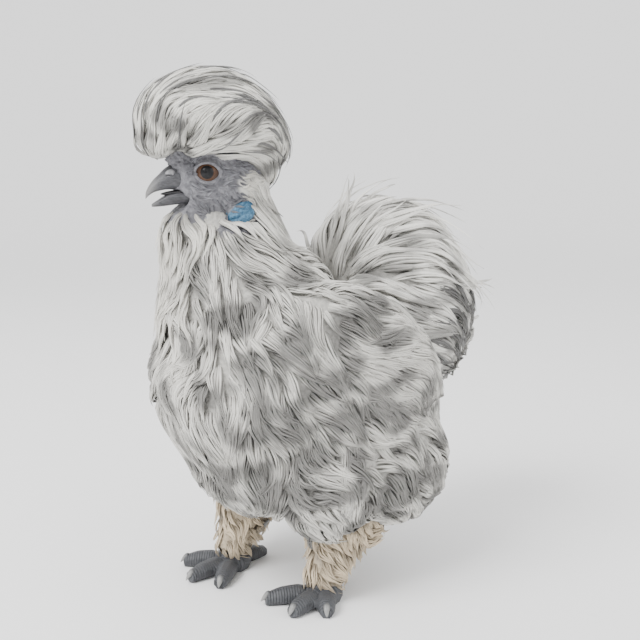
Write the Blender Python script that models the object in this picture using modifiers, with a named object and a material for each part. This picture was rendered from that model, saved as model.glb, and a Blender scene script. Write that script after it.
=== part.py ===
"""A life-size silkie chicken standing upright, modelled as still solids in metres.

The bird faces -Y, its left side is +X, and its feet stand on the plane Z = 0. Each solid reaches out
to the tips of the feathers that grow on it. The trunk, neck and thighs are modelled whole and parted
with thin cuts; the crest, beard, tail, wings, leg cuffs, face and feet are forms of their own.
"""

import math

import bmesh
import bpy
from mathutils import Matrix, Vector

# Driving dimensions, in metres.
EYE_HEIGHT = 0.2515
HEAD_CENTRE = Vector((-0.0004, -0.0368, EYE_HEIGHT))
HEAD_TURN = math.radians(-15)
EYE_RADIUS = 0.0074
LOBE_RADII = (0.0036, 0.0088, 0.0062)
BODY_WIDTH = 0.148
CREST_WIDTH = 0.073
TAIL_CENTRE = Vector((0, 0.103, 0.1715))
FOOT_CENTRES = {"left": Vector((0.038, 0.018, 0)), "right": Vector((-0.036, 0.004, 0))}
TOE_RADIUS = 0.0056
CLAW_TIP_RADIUS = 0.0003
GAP = 0.0003
CUTTER_SIZE = 0.8
# The whole bird is moved by this, so that the origin is under the middle of its box.
TO_ORIGIN = Vector((0, -0.0413, 0))

COLOURS = {
    "plumage": ((0.52, 0.515, 0.50), 0.8),
    "plumage_shade": ((0.36, 0.36, 0.355), 0.8),
    "cuff": ((0.55, 0.48, 0.39), 0.85),
    "face": ((0.24, 0.24, 0.26), 0.7),
    "horn": ((0.22, 0.22, 0.23), 0.45),
    "claw": ((0.42, 0.42, 0.40), 0.4),
    "toe": ((0.10, 0.105, 0.115), 0.55),
    "eye": ((0.20, 0.08, 0.035), 0.1),
    "earlobe": ((0.16, 0.36, 0.55), 0.6),
    "tongue": ((0.20, 0.19, 0.20), 0.5),
}

# The balls that the trunk is built up from: centre, radii, and pitch in degrees about X.
TRUNK_BALLS = [
    ((0, 0.042, 0.120), (BODY_WIDTH / 2, 0.082, 0.058), 0),
    ((0, -0.009, 0.134), (0.064, 0.0575, 0.058), 0),
    ((0, 0.002, 0.094), (0.052, 0.048, 0.046), 0),
    ((0, 0.076, 0.098), (0.058, 0.052, 0.048), 0),
    ((0, 0.038, 0.152), (0.050, 0.060, 0.032), -6),
]
# The same on each side: thigh, and the fluff behind it.
SIDE_BALLS = [
    ((0.040, 0.018, 0.076), (0.032, 0.036, 0.038), 0),
    ((0.034, 0.067, 0.074), (0.041, 0.047, 0.040), 8),
]
# The cuff of feathers round the shank is set out from the middle of its own foot.
CUFF_BALLS = [
    ((0, 0.012, 0.044), (0.021, 0.024, 0.019), 0),
    ((0, 0.009, 0.028), (0.0180, 0.0200, 0.014), 0),
    ((0, 0.001, 0.0170), (0.0150, 0.0160, 0.0095), 0),
    ((0.003, 0.027, 0.033), (0.013, 0.018, 0.010), 12),
]
# The neck's rings: height, middle along Y, half length along Y, and half width.
NECK_RINGS = [
    (0.158, -0.012, 0.0500, 0.0520),
    (0.178, -0.015, 0.0475, 0.0480),
    (0.192, -0.018, 0.0415, 0.0430),
    (0.206, -0.021, 0.0375, 0.0370),
    (0.218, -0.0225, 0.0345, 0.0320),
    (0.2255, -0.0185, 0.0265, 0.0270),
    (0.233, -0.012, 0.0180, 0.0185),
    (0.246, -0.011, 0.0140, 0.0150),
    (0.264, -0.011, 0.0120, 0.0140),
]
BEARD_STATIONS = [
    ((-0.006, -0.0455, 0.2250), 0.0145),
    ((-0.006, -0.0460, 0.210), 0.0160),
    ((-0.003, -0.0470, 0.194), 0.0125),
]

NECK_CUT = (Vector((0, -0.018, 0.186)), Vector((0, -0.12, 1)))
BREAST_CUT = (Vector((0, 0.022, 0.120)), Vector((0, -1, 0.10)))
RUMP_CUT = (Vector((0, 0.086, 0.110)), Vector((0, 1, 0.20)))
THIGH_CUT = (Vector((0, 0.030, 0.076)), Vector((0, 0.10, -1)))
BODY_VOXEL = 0.0050
BODY_SMOOTHING = 8
BODY_KEEP = 0.040
CUFF_VOXEL = 0.0030


def clear_scene():
    for item in list(bpy.data.objects):
        bpy.data.objects.remove(item)


def collection_of(name):
    made = bpy.data.collections.new(name)
    bpy.context.scene.collection.children.link(made)
    return made


def material_of(name):
    found = bpy.data.materials.get(name)
    if found:
        return found
    colour, roughness = COLOURS[name]
    made = bpy.data.materials.new(name)
    made.use_nodes = True
    surface = made.node_tree.nodes["Principled BSDF"]
    surface.inputs["Base Color"].default_value = (*colour, 1)
    surface.inputs["Roughness"].default_value = roughness
    surface.inputs["Metallic"].default_value = 0
    return made


def add_part(name, mesh, material, parent=None):
    """A sub-part of the bird, in the bird's own collection."""
    made = bpy.data.objects.new(name, mesh)
    if not mesh.materials:
        mesh.materials.append(material_of(material))
    mesh.shade_smooth()
    PARTS.objects.link(made)
    made.parent = parent or BIRD
    return made


def add_cutter(name, mesh, parent=None):
    """A helper that only shapes other solids."""
    made = bpy.data.objects.new(name, mesh)
    made.hide_render = True
    made.display_type = "WIRE"
    CUTTERS.objects.link(made)
    made.parent = parent or BIRD
    return made


def mesh_from(bm, name):
    """The closed body in bm as a mesh of triangles, so that its grown copy bends along the same edges."""
    bmesh.ops.triangulate(bm, faces=bm.faces)
    bmesh.ops.recalc_face_normals(bm, faces=bm.faces)
    mesh = bpy.data.meshes.new(name)
    bm.to_mesh(mesh)
    bm.free()
    return mesh


def add_ball(bm, centre, radii, pitch=0, segments=20, rings=12):
    """A UV sphere scaled to three radii and turned by pitch about X."""
    turn = Matrix.Rotation(math.radians(pitch), 3, "X")
    place = Matrix.LocRotScale(Vector(centre), turn, Vector(radii))
    bmesh.ops.create_uvsphere(bm, u_segments=segments, v_segments=rings, radius=1, matrix=place)


def add_chain(bm, stations, between=4):
    """A tapered limb made of overlapping balls strung along its stations."""
    for (start, start_radius), (end, end_radius) in zip(stations, stations[1:]):
        for step in range(between):
            share = step / (between - 1)
            radius = start_radius + (end_radius - start_radius) * share
            add_ball(bm, Vector(start).lerp(Vector(end), share), (radius,) * 3)


def mirrored(centre):
    return (-centre[0], centre[1], centre[2])


def fused(bm, name, voxel, smoothing, kept):
    """The balls in bm grown together into one smooth skin with few faces, as a mesh."""
    rough = add_cutter(name, mesh_from(bm, name))
    remesh = rough.modifiers.new("fuse", "REMESH")
    remesh.mode = "VOXEL"
    remesh.voxel_size = voxel
    smooth = rough.modifiers.new("smooth", "SMOOTH")
    smooth.iterations = smoothing
    fewer = rough.modifiers.new("fewer", "DECIMATE")
    fewer.ratio = kept
    bpy.context.view_layer.update()
    mesh = bpy.data.meshes.new_from_object(rough.evaluated_get(bpy.context.evaluated_depsgraph_get()))
    mesh.name = name
    bpy.data.objects.remove(rough)
    return mesh


def level_ring(middle, half_width, half_length, count):
    """An oval ring of points that lies level."""
    ring = []
    for k in range(count):
        angle = 2 * math.pi * k / count
        ring.append(middle + Vector((half_width * math.cos(angle), half_length * math.sin(angle), 0)))
    return ring


def add_loft(bm, rings):
    """A closed body through rings of points that all have the same count, with a point at each end."""
    laid = [[bm.verts.new(point) for point in ring] for ring in rings]
    count = len(rings[0])
    for low, high in zip(laid, laid[1:]):
        for i in range(count):
            j = (i + 1) % count
            bm.faces.new((low[i], low[j], high[j], high[i]))
    for ring in (laid[0], laid[-1]):
        middle = bm.verts.new(sum((v.co for v in ring), Vector()) / count)
        for i in range(count):
            bm.faces.new((ring[i], ring[(i + 1) % count], middle))


def loft(rings, name):
    bm = bmesh.new()
    add_loft(bm, rings)
    return mesh_from(bm, name)


def oval_ring(y, top, bottom, half_width, count, belly=0.5):
    """An egg-shaped ring across Y, widest at the share belly of its height above the bottom."""
    widest = bottom + (top - bottom) * belly
    ring = []
    for i in range(count):
        angle = 2 * math.pi * i / count
        rise = math.sin(angle)
        height = (top - widest) if rise > 0 else (widest - bottom)
        ring.append(Vector((half_width * math.cos(angle), y, widest + height * rise)))
    return ring


def half_space(name, point, normal):
    """A large block that fills the side of a plane which the normal points to."""
    bm = bmesh.new()
    bmesh.ops.create_cube(bm, size=CUTTER_SIZE)
    turn = Vector(normal).to_track_quat("Z", "Y").to_matrix()
    centre = Vector(point) + Vector(normal).normalized() * CUTTER_SIZE / 2
    bmesh.ops.transform(bm, matrix=Matrix.LocRotScale(centre, turn, None), verts=bm.verts)
    return add_cutter(name, mesh_from(bm, name))


def sides_of(name, cut):
    """The blocks ahead of and behind a cut, with the gap between them."""
    point, normal = cut
    ahead = half_space(name + "_ahead", point + normal.normalized() * GAP / 2, normal)
    behind = half_space(name + "_behind", point - normal.normalized() * GAP / 2, -normal)
    return ahead, behind


def grown(part, by=GAP):
    """A cutter that is the part before its own cuts, larger all round by the gap."""
    name = part.name + "_grown"
    found = bpy.data.objects.get(name)
    if found:
        return found
    made = add_cutter(name, part.data.copy(), part.parent)
    made.location = part.location
    made.rotation_euler = part.rotation_euler
    swell = made.modifiers.new("swell", "DISPLACE")
    swell.strength = by
    swell.mid_level = 0
    return made


def shape_by(part, operation, *cutters):
    for cutter in cutters:
        step = part.modifiers.new(operation.lower() + "_" + cutter.name, "BOOLEAN")
        step.operation = operation
        step.object = cutter
        step.use_self = True


def cut_by(part, *others):
    shape_by(part, "DIFFERENCE", *[grown(other) for other in others])


def build_eyes():
    """The eyeballs, set in the sides of the head so that a cap of each shows between the lids."""
    eyes = []
    for side, sign in (("left", 1), ("right", -1)):
        bm = bmesh.new()
        add_ball(bm, (0, 0, 0), (EYE_RADIUS,) * 3, segments=12, rings=7)
        eye = add_part("eye_" + side, mesh_from(bm, "eye_" + side), "eye", HEAD)
        eye.location = (sign * 0.0077, -0.0005, 0)
        eyes.append(eye)
    return eyes


def build_bill():
    """The upper bill hooks down over the lower one, which is open a little and holds the tongue."""
    upper_rings = [
        oval_ring(y, top, bottom, half, 12, belly)
        for y, top, bottom, half, belly in (
            (-0.0100, 0.0030, -0.0094, 0.0066, 0.45),
            (-0.0160, 0.0050, -0.0094, 0.0069, 0.42),
            (-0.0210, 0.0030, -0.0090, 0.0061, 0.38),
            (-0.0255, -0.0012, -0.0096, 0.0049, 0.35),
            (-0.0292, -0.0046, -0.0108, 0.0035, 0.38),
            (-0.0318, -0.0084, -0.0126, 0.0021, 0.45),
            (-0.0328, -0.0116, -0.0140, 0.0009, 0.50),
        )
    ]
    upper = add_part("upper_bill", loft(upper_rings, "upper_bill"), "horn", HEAD)
    lower_rings = [
        oval_ring(y, top, bottom, half, 12, belly)
        for y, top, bottom, half, belly in (
            (-0.0080, -0.0108, -0.0168, 0.0060, 0.60),
            (-0.0135, -0.0120, -0.0176, 0.0061, 0.68),
            (-0.0185, -0.0130, -0.0180, 0.0053, 0.72),
            (-0.0230, -0.0142, -0.0182, 0.0041, 0.72),
            (-0.0272, -0.0155, -0.0183, 0.0026, 0.65),
            (-0.0300, -0.0165, -0.0181, 0.0012, 0.50),
        )
    ]
    lower = add_part("lower_bill", loft(lower_rings, "lower_bill"), "horn", HEAD)
    trough = bmesh.new()
    add_ball(trough, (0, -0.0155, -0.0120), (0.0040, 0.0115, 0.0031), pitch=14, segments=10, rings=6)
    shape_by(lower, "DIFFERENCE", add_cutter("trough", mesh_from(trough, "trough"), HEAD))
    blade = bmesh.new()
    add_ball(blade, (0, -0.0165, -0.0121), (0.0030, 0.0080, 0.0012), pitch=8, segments=12, rings=6)
    tongue = add_part("tongue", mesh_from(blade, "tongue"), "tongue", HEAD)
    return upper, lower, tongue


def build_comb():
    """The small walnut comb, a lumpy knob in front of the crest."""
    bm = bmesh.new()
    lumps = [((0, -0.0188, 0.0082), (0.0052, 0.0034, 0.0042))]
    lumps += [((x, -0.0180, 0.0118), (0.0032, 0.0032, 0.0036)) for x in (-0.0028, 0.0028)]
    for centre, radii in lumps:
        add_ball(bm, centre, radii, segments=14, rings=8)
    mesh = fused(bm, "comb", 0.0010, 3, 0.08)
    return add_part("comb", mesh, "face", HEAD)


def build_earlobes():
    """The oval blue lobes below and behind the ears."""
    lobes = []
    for side, sign in (("left", 1), ("right", -1)):
        bm = bmesh.new()
        add_ball(bm, (sign * 0.0148, 0.0160, -0.0232), LOBE_RADII, pitch=-24, segments=12, rings=7)
        lobes.append(add_part("earlobe_" + side, mesh_from(bm, "earlobe_" + side), "earlobe", HEAD))
    return lobes


def build_head(eyes, bill, comb, lobes):
    """The bare face, the skull under the crest, and the feathered cheeks."""
    rings = [
        oval_ring(y, top, bottom, half, 12, belly)
        for y, top, bottom, half, belly in (
            (-0.0200, 0.0066, -0.0080, 0.0044, 0.60),
            (-0.0165, 0.0086, -0.0150, 0.0072, 0.58),
            (-0.0100, 0.0104, -0.0195, 0.0100, 0.55),
            (-0.0020, 0.0122, -0.0240, 0.0126, 0.52),
            (0.0070, 0.0136, -0.0278, 0.0148, 0.48),
            (0.0160, 0.0140, -0.0295, 0.0160, 0.46),
            (0.0250, 0.0124, -0.0278, 0.0152, 0.46),
            (0.0320, 0.0085, -0.0210, 0.0115, 0.46),
            (0.0365, 0.0010, -0.0110, 0.0050, 0.46),
        )
    ]
    head = add_part("head", loft(rings, "head"), "face", HEAD)
    cut_by(head, *eyes, bill[0], bill[1], comb, *lobes)
    shape_by(head, "DIFFERENCE", mouth_cutter())
    return head


def mouth_cutter():
    """The hollow between the bills, back to the corners of the mouth."""
    bm = bmesh.new()
    add_ball(bm, (0, -0.0170, -0.0112), (0.0078, 0.0085, 0.0024), pitch=8, segments=12, rings=8)
    return add_cutter("mouth", mesh_from(bm, "mouth"), HEAD)


def build_crest(head, comb, bill, lobes):
    """The round crest: a dome that overhangs the bill in front and falls down the nape behind."""
    centre = Vector((0, 0.0045, 0.0315))
    half_width, half_length = CREST_WIDTH / 2, 0.0430
    height_above, height_below = 0.0250, 0.0235
    nape_fall, brow_fall, lobe_depth, lobes_round, boxiness = 0.0180, 0.0035, 0.030, 11, 0.62
    bm = bmesh.new()
    bmesh.ops.create_uvsphere(bm, u_segments=22, v_segments=11, radius=1)
    for vert in bm.verts:
        x, y, z = vert.co
        round_axis = math.atan2(y, x)
        lobe = 1 + lobe_depth * math.cos(lobes_round * round_axis) * (1 - z * z)
        fall = nape_fall * max(0, y) ** 2 + brow_fall * max(0, -y) ** 2
        out = math.hypot(x, y)
        fuller = out ** (boxiness - 1) if z < 0 and out > 0.01 else 1
        vert.co = centre + Vector(
            (
                x * half_width * lobe * fuller,
                y * half_length * lobe * fuller,
                z * (height_above if z > 0 else height_below) - fall,
            )
        )
    crest = add_part("crest", mesh_from(bm, "crest"), "plumage", HEAD)
    cut_by(crest, head, comb, bill[0], *lobes)
    return crest


def build_beard(head, bill, lobes):
    """The beard of soft feathers that hangs from the throat."""
    bm = bmesh.new()
    add_chain(bm, BEARD_STATIONS, between=5)
    beard = add_part("beard", fused(bm, "beard", 0.0030, 6, 0.05), "plumage")
    cut_by(beard, head, bill[1], *lobes)
    return beard


def build_wing(side, sign):
    """A folded wing: a long oval that slopes down to the rear and tapers to its tip."""
    length, depth, thickness, slope, splay = 0.064, 0.037, 0.0165, -27, -5
    bm = bmesh.new()
    bmesh.ops.create_uvsphere(bm, u_segments=16, v_segments=10, radius=1)
    for vert in bm.verts:
        x, y, z = vert.co
        taper = 1 - 0.30 * max(0, y) ** 1.5
        ripple = 1 + 0.05 * math.cos(11 * math.atan2(z, y)) * max(0, y)
        vert.co = Vector((x * thickness, y * length * ripple, z * depth * taper))
    turn = Matrix.Rotation(math.radians(sign * splay), 4, "Z") @ Matrix.Rotation(math.radians(slope), 4, "X")
    bmesh.ops.transform(bm, matrix=turn, verts=bm.verts)
    wing = add_part("wing_" + side, mesh_from(bm, "wing_" + side), "plumage_shade")
    wing.location = (sign * 0.0615, 0.028, 0.150)
    return wing


def build_tail():
    """The short full tail: plumes that spread from the rump and arch over into a ball."""
    half_width, half_depth, half_height = 0.057, 0.055, 0.068
    plumes_round, groove, lean, tilt = 13, 0.045, -30, 16
    bm = bmesh.new()
    bmesh.ops.create_uvsphere(bm, u_segments=26, v_segments=11, radius=1)
    for vert in bm.verts:
        x, y, z = vert.co
        round_axis = math.atan2(y, x)
        spread = (1 - z * z) * (0.6 + 0.4 * z)
        ridge = 1 + groove * math.cos(plumes_round * round_axis) * spread
        vert.co = Vector((x * ridge, y * ridge, z))
    # The pole of the ball is turned to point backward and up, so the ridges run out from the rump.
    tip_up = Matrix.Rotation(math.radians(-90 - lean), 4, "X")
    bmesh.ops.transform(bm, matrix=tip_up, verts=bm.verts)
    bmesh.ops.transform(bm, matrix=Matrix.Diagonal((half_width, half_depth, half_height, 1)), verts=bm.verts)
    bmesh.ops.transform(bm, matrix=Matrix.Rotation(math.radians(tilt), 4, "X"), verts=bm.verts)
    tail = add_part("tail", mesh_from(bm, "tail"), "plumage")
    tail.location = TAIL_CENTRE
    # The plumes arch over and leave a hollow behind and below them.
    hollow = bmesh.new()
    middle = TAIL_CENTRE + Vector((0, 0.030, -0.024))
    add_ball(hollow, middle, (0.040, 0.050, 0.040), pitch=-40, segments=12, rings=7)
    shape_by(tail, "DIFFERENCE", add_cutter("tail_hollow", mesh_from(hollow, "tail_hollow")))
    return tail


def digit_mesh(name, root, tip, root_radius, tip_radius, on_ground=True):
    """A toe: a tapering round body with swollen joints, with a flat along its sole if it is on the ground."""
    stations, sides, sole_drop, wider = 4, 8, 0.90, 1.08
    along = tip - root
    across = Vector((along.y, -along.x, 0)).normalized()
    rings = []
    for i in range(stations):
        share = i / (stations - 1)
        radius = root_radius + (tip_radius - root_radius) * share
        radius *= 1 + 0.05 * math.cos(4 * math.pi * share)
        if i in (0, stations - 1):
            radius *= 0.70
        middle = root + along * share
        if on_ground:
            middle.z = min(middle.z, sole_drop * radius)
        ring = []
        for k in range(sides):
            angle = 2 * math.pi * (k + 0.5) / sides
            point = middle + across * math.cos(angle) * radius * wider
            point.z += math.sin(angle) * radius
            ring.append(Vector((point.x, point.y, max(point.z, 0))))
        rings.append(ring)
    return loft(rings, name)


def claw_mesh(name, base, direction, length, radius, droop):
    """A claw: a curved cone whose tip bends down towards the ground."""
    stations, sides = 4, 6
    across = Vector((direction.y, -direction.x, 0)).normalized()
    up = across.cross(direction).normalized()
    up = up if up.z > 0 else -up
    rings = []
    for i in range(stations):
        share = i / (stations - 1)
        size = radius * (1 - share) ** 0.8 + CLAW_TIP_RADIUS
        middle = base + direction * length * share + Vector((0, 0, -droop * share * share))
        ring = []
        for k in range(sides):
            angle = 2 * math.pi * (k + 0.5) / sides
            point = middle + across * math.cos(angle) * size * 0.8 + up * math.sin(angle) * size
            ring.append(point)
        rings.append(ring)
    return loft(rings, name)


# Each toe: heading in degrees outward from straight ahead, and length from the foot's centre.
DIGITS = {
    "left": {"inner": (-28, 0.036), "middle": (12, 0.031), "outer": (52, 0.025), "rear": (-146, 0.026)},
    "right": {"inner": (-40, 0.035), "middle": (-4, 0.036), "outer": (42, 0.033), "rear": (173, 0.026)},
}
FIFTH_TOE_HEADING = -128
FIFTH_TOE_LENGTH = 0.020
# The shank from the sole up: height and radius.
SHANK_RINGS = (
    (0, 0.0100),
    (0.0045, 0.0116),
    (0.0095, 0.0104),
    (0.0150, 0.0080),
    (0.0240, 0.0064),
    (0.0440, 0.0060),
)
SHANK_LEAN = 0.14


def heading_of(sign, degrees, rise=0):
    """The direction of a toe, in degrees outward from straight ahead."""
    turn = math.radians(degrees)
    return Vector((sign * math.sin(turn), -math.cos(turn), rise)).normalized()


def build_shank(side, centre):
    rings = []
    for height, radius in SHANK_RINGS:
        middle = centre + Vector((0, SHANK_LEAN * height - 0.0015, height))
        rings.append(level_ring(middle, radius, radius, 10))
    return add_part("shank_" + side, loft(rings, "shank_" + side), "toe")


def build_ground_toe(side, name, centre, ahead, length):
    """A toe that lies on the ground, and its claw, whose tip rests on the ground."""
    thin, claw_height = (0.88, 0.85) if name == "rear" else (1, 1.10)
    root = centre + ahead * 0.006 + Vector((0, 0, 0.0054))
    tip = centre + ahead * length + Vector((0, 0, 0.0044))
    title = f"toe_{name}_{side}"
    mesh = digit_mesh(title, root, tip, TOE_RADIUS * 1.06 * thin, TOE_RADIUS * 0.92 * thin)
    toe = add_part(title, mesh, "toe")
    base = centre + ahead * (length - 0.0026) + Vector((0, 0, TOE_RADIUS * claw_height))
    title = f"claw_{name}_{side}"
    mesh = claw_mesh(title, base, ahead, 0.0086 * thin, 0.0025, base.z - CLAW_TIP_RADIUS)
    return toe, add_part(title, mesh, "claw")


def build_fifth_toe(side, sign, centre):
    """The short extra toe of the breed, which points up and back and stays off the ground."""
    ahead = heading_of(sign, FIFTH_TOE_HEADING, rise=0.62)
    root = centre + ahead * 0.004 + Vector((0, 0, 0.0165))
    tip = root + ahead * FIFTH_TOE_LENGTH
    title = "toe_fifth_" + side
    toe = add_part(title, digit_mesh(title, root, tip, 0.0042, 0.0033, on_ground=False), "toe")
    title = "claw_fifth_" + side
    mesh = claw_mesh(title, tip - ahead * 0.0018, ahead, 0.0095, 0.0020, -0.0030)
    return toe, add_part(title, mesh, "claw")


def build_foot(side, sign):
    """One foot: the shank and sole, three toes ahead, the hind toe, and the fifth toe."""
    centre = FOOT_CENTRES[side]
    shank = build_shank(side, centre)
    digits, claws = [], []
    for name, (heading, length) in DIGITS[side].items():
        toe, claw = build_ground_toe(side, name, centre, heading_of(sign, heading), length)
        digits.append(toe)
        claws.append(claw)
    toe, claw = build_fifth_toe(side, sign, centre)
    digits.append(toe)
    claws.append(claw)
    for toe, claw in zip(digits, claws):
        cut_by(toe, claw, shank)
    # The three front toes are parted by upright planes halfway between their headings.
    headings = [heading for heading, length in DIGITS[side].values()]
    for inner, outer, low, high in zip(digits, digits[1:3], headings, headings[1:3]):
        between = math.radians((low + high) / 2)
        outward = Vector((sign * math.cos(between), math.sin(between), 0))
        beyond, within = sides_of("between_" + inner.name, (centre, outward))
        shape_by(inner, "INTERSECT", within)
        shape_by(outer, "INTERSECT", beyond)
    return [shank, *digits, *claws]


def trunk_mesh():
    """The whole feathered trunk with the neck and thighs grown onto it."""
    bm = bmesh.new()
    for centre, radii, pitch in TRUNK_BALLS:
        add_ball(bm, centre, radii, pitch)
    for centre, radii, pitch in SIDE_BALLS:
        add_ball(bm, centre, radii, pitch)
        add_ball(bm, mirrored(centre), radii, pitch)
    rings = []
    for height, middle, half_length, half_width in NECK_RINGS:
        rings.append(level_ring(Vector((0, middle, height)), half_width, half_length, 18))
    add_loft(bm, rings)
    return fused(bm, "trunk_whole", BODY_VOXEL, BODY_SMOOTHING, BODY_KEEP)


def build_cuffs(feet):
    """The cuffs of feathers round the shanks, which stand out in points behind."""
    cuffs = {}
    for side, sign in (("left", 1), ("right", -1)):
        bm = bmesh.new()
        for centre, radii, pitch in CUFF_BALLS:
            offset = Vector((sign * centre[0], centre[1], centre[2]))
            add_ball(bm, FOOT_CENTRES[side] + offset, radii, pitch)
        mesh = fused(bm, "cuff_" + side, CUFF_VOXEL, 4, 0.030)
        cuffs[side] = add_part("cuff_" + side, mesh, "cuff")
        cut_by(cuffs[side], *feet[side])
    return cuffs


def build_body(head, beard, crest, wings, tail, lobes, cuffs):
    """Parts the trunk into neck, breast, back, rump and thighs."""
    whole = trunk_mesh()
    neck_up, neck_down = sides_of("neck_cut", NECK_CUT)
    breast_front, breast_back = sides_of("breast_cut", BREAST_CUT)
    rump_back, rump_front = sides_of("rump_cut", RUMP_CUT)
    thigh_down, thigh_up = sides_of("thigh_cut", THIGH_CUT)
    left, right = sides_of("middle_cut", (Vector((0, 0, 0)), Vector((1, 0, 0))))

    def part_of_whole(name, material, *blocks):
        part = add_part(name, whole.copy(), material)
        part.data.materials.clear()
        part.data.materials.append(material_of(material))
        shape_by(part, "INTERSECT", *blocks)
        return part

    neck = part_of_whole("neck", "plumage", neck_up)
    cut_by(neck, head, beard, crest, *lobes)
    breast = part_of_whole("breast", "plumage_shade", neck_down, breast_front, thigh_up)
    cut_by(breast, beard, *wings)
    back = part_of_whole("back", "plumage", neck_down, breast_back, rump_front, thigh_up)
    cut_by(back, tail, *wings)
    rump = part_of_whole("rump", "plumage_shade", rump_back, thigh_up)
    cut_by(rump, tail, *wings)
    for side, block in (("left", left), ("right", right)):
        thigh = part_of_whole("thigh_" + side, "plumage", thigh_down, block)
        cut_by(thigh, cuffs[side])


def main():
    eyes = build_eyes()
    bill = build_bill()
    comb = build_comb()
    lobes = build_earlobes()
    head = build_head(eyes, bill, comb, lobes)
    cut_by(comb, bill[0])
    beard = build_beard(head, bill, lobes)
    crest = build_crest(head, comb, bill, lobes)
    wings = [build_wing("left", 1), build_wing("right", -1)]
    tail = build_tail()
    feet = {"left": build_foot("left", 1), "right": build_foot("right", -1)}
    cuffs = build_cuffs(feet)
    build_body(head, beard, crest, wings, tail, lobes, cuffs)


clear_scene()
PARTS = collection_of("silkie_chicken")
CUTTERS = collection_of("cutters")
BIRD = bpy.data.objects.new("bird", None)
PARTS.objects.link(BIRD)
BIRD.location = TO_ORIGIN
HEAD = bpy.data.objects.new("head_turn", None)
PARTS.objects.link(HEAD)
HEAD.parent = BIRD
HEAD.location = HEAD_CENTRE
HEAD.rotation_euler = (0, 0, HEAD_TURN)
main()
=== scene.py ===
import math

import bmesh
import bpy
import numpy as np
from mathutils import Matrix, Vector
from mathutils.bvhtree import BVHTree
from mathutils.kdtree import KDTree


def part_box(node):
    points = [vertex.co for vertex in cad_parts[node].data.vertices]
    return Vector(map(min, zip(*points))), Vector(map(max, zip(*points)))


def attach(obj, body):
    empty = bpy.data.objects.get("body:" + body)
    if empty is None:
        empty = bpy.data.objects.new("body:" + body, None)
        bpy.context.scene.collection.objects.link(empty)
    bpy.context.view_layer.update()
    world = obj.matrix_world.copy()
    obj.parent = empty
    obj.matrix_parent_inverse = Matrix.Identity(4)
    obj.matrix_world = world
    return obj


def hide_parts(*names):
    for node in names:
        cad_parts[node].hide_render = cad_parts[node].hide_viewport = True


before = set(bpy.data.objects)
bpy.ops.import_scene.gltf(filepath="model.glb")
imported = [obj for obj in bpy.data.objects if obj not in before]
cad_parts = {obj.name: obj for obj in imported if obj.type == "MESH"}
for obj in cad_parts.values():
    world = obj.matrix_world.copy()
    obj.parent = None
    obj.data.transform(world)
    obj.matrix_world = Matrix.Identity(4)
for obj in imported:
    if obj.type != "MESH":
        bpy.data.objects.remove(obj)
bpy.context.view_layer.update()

# The outline of the plumage: where the tips of the feathers lie on neck, trunk, wings and thighs, on
# the crest, the tail and the cuffs. None of it is shown. The locks of feather lie along it, and the
# skin lies inside it by the depth of the coat.


def unit(vectors):
    """Each vector at a length of 1."""
    return vectors / np.maximum(np.linalg.norm(vectors, axis=-1, keepdims=True), 1e-9)


def smooth_step(low, high, value):
    """0 below low, 1 above high and smooth between them."""
    share = np.clip((value - low) / (high - low), 0, 1)
    return share * share * (3 - 2 * share)


def node_mesh(nodes, swell=0.0004):
    """The named CAD solids in one mesh, each grown a little so that they overlap across their gaps."""
    bm = bmesh.new()
    for node in nodes:
        bm.from_mesh(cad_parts[node].data)
    bmesh.ops.remove_doubles(bm, verts=bm.verts, dist=1e-6)
    bm.normal_update()
    for vert in bm.verts:
        vert.co += vert.normal * swell
    return bm


def add_ball(bm, centre, radii, turn=None):
    """A ball or an egg shape, with its radii along its own axes."""
    place = Matrix.LocRotScale(Vector(centre), turn, Vector(radii))
    bmesh.ops.create_uvsphere(bm, u_segments=32, v_segments=20, radius=1, matrix=place)


def fused_points(bm, voxel, smoothing):
    """One closed skin over everything in bm: its points and its triangles."""
    mesh = bpy.data.meshes.new("rough")
    bm.to_mesh(mesh)
    bm.free()
    rough = bpy.data.objects.new("rough", mesh)
    bpy.context.scene.collection.objects.link(rough)
    remesh = rough.modifiers.new("fuse", "REMESH")
    remesh.mode = "VOXEL"
    remesh.voxel_size = voxel
    smooth = rough.modifiers.new("smooth", "SMOOTH")
    smooth.iterations = smoothing
    made = bpy.data.meshes.new_from_object(rough.evaluated_get(bpy.context.evaluated_depsgraph_get()))
    bpy.data.objects.remove(rough)
    made.calc_loop_triangles()
    points = np.empty(len(made.vertices) * 3)
    made.vertices.foreach_get("co", points)
    faces = np.empty(len(made.loop_triangles) * 3, np.int32)
    made.loop_triangles.foreach_get("vertices", faces)
    bpy.data.meshes.remove(made)
    return largest_piece(points.reshape(-1, 3), faces.reshape(-1, 3))


def largest_piece(points, faces):
    """The mesh without any small closed bubble inside it."""
    label = np.arange(len(points))
    ends = np.concatenate([faces[:, [0, 1]], faces[:, [1, 2]], faces[:, [2, 0]]])
    while True:
        low = np.minimum(label[ends[:, 0]], label[ends[:, 1]])
        before = label.copy()
        np.minimum.at(label, ends[:, 0], low)
        np.minimum.at(label, ends[:, 1], low)
        label = label[label]
        if (label == before).all():
            break
    kept = label == np.bincount(label).argmax()
    index = np.cumsum(kept) - 1
    faces = faces[kept[faces[:, 0]]]
    return points[kept], index[faces]


def point_normals(points, faces):
    """The smooth normal at each point, weighted by the area of the triangles round it."""
    a, b, c = (points[faces[:, k]] for k in range(3))
    across = np.cross(b - a, c - a)
    total = np.zeros_like(points)
    for k in range(3):
        np.add.at(total, faces[:, k], across)
    return unit(total)


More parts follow.
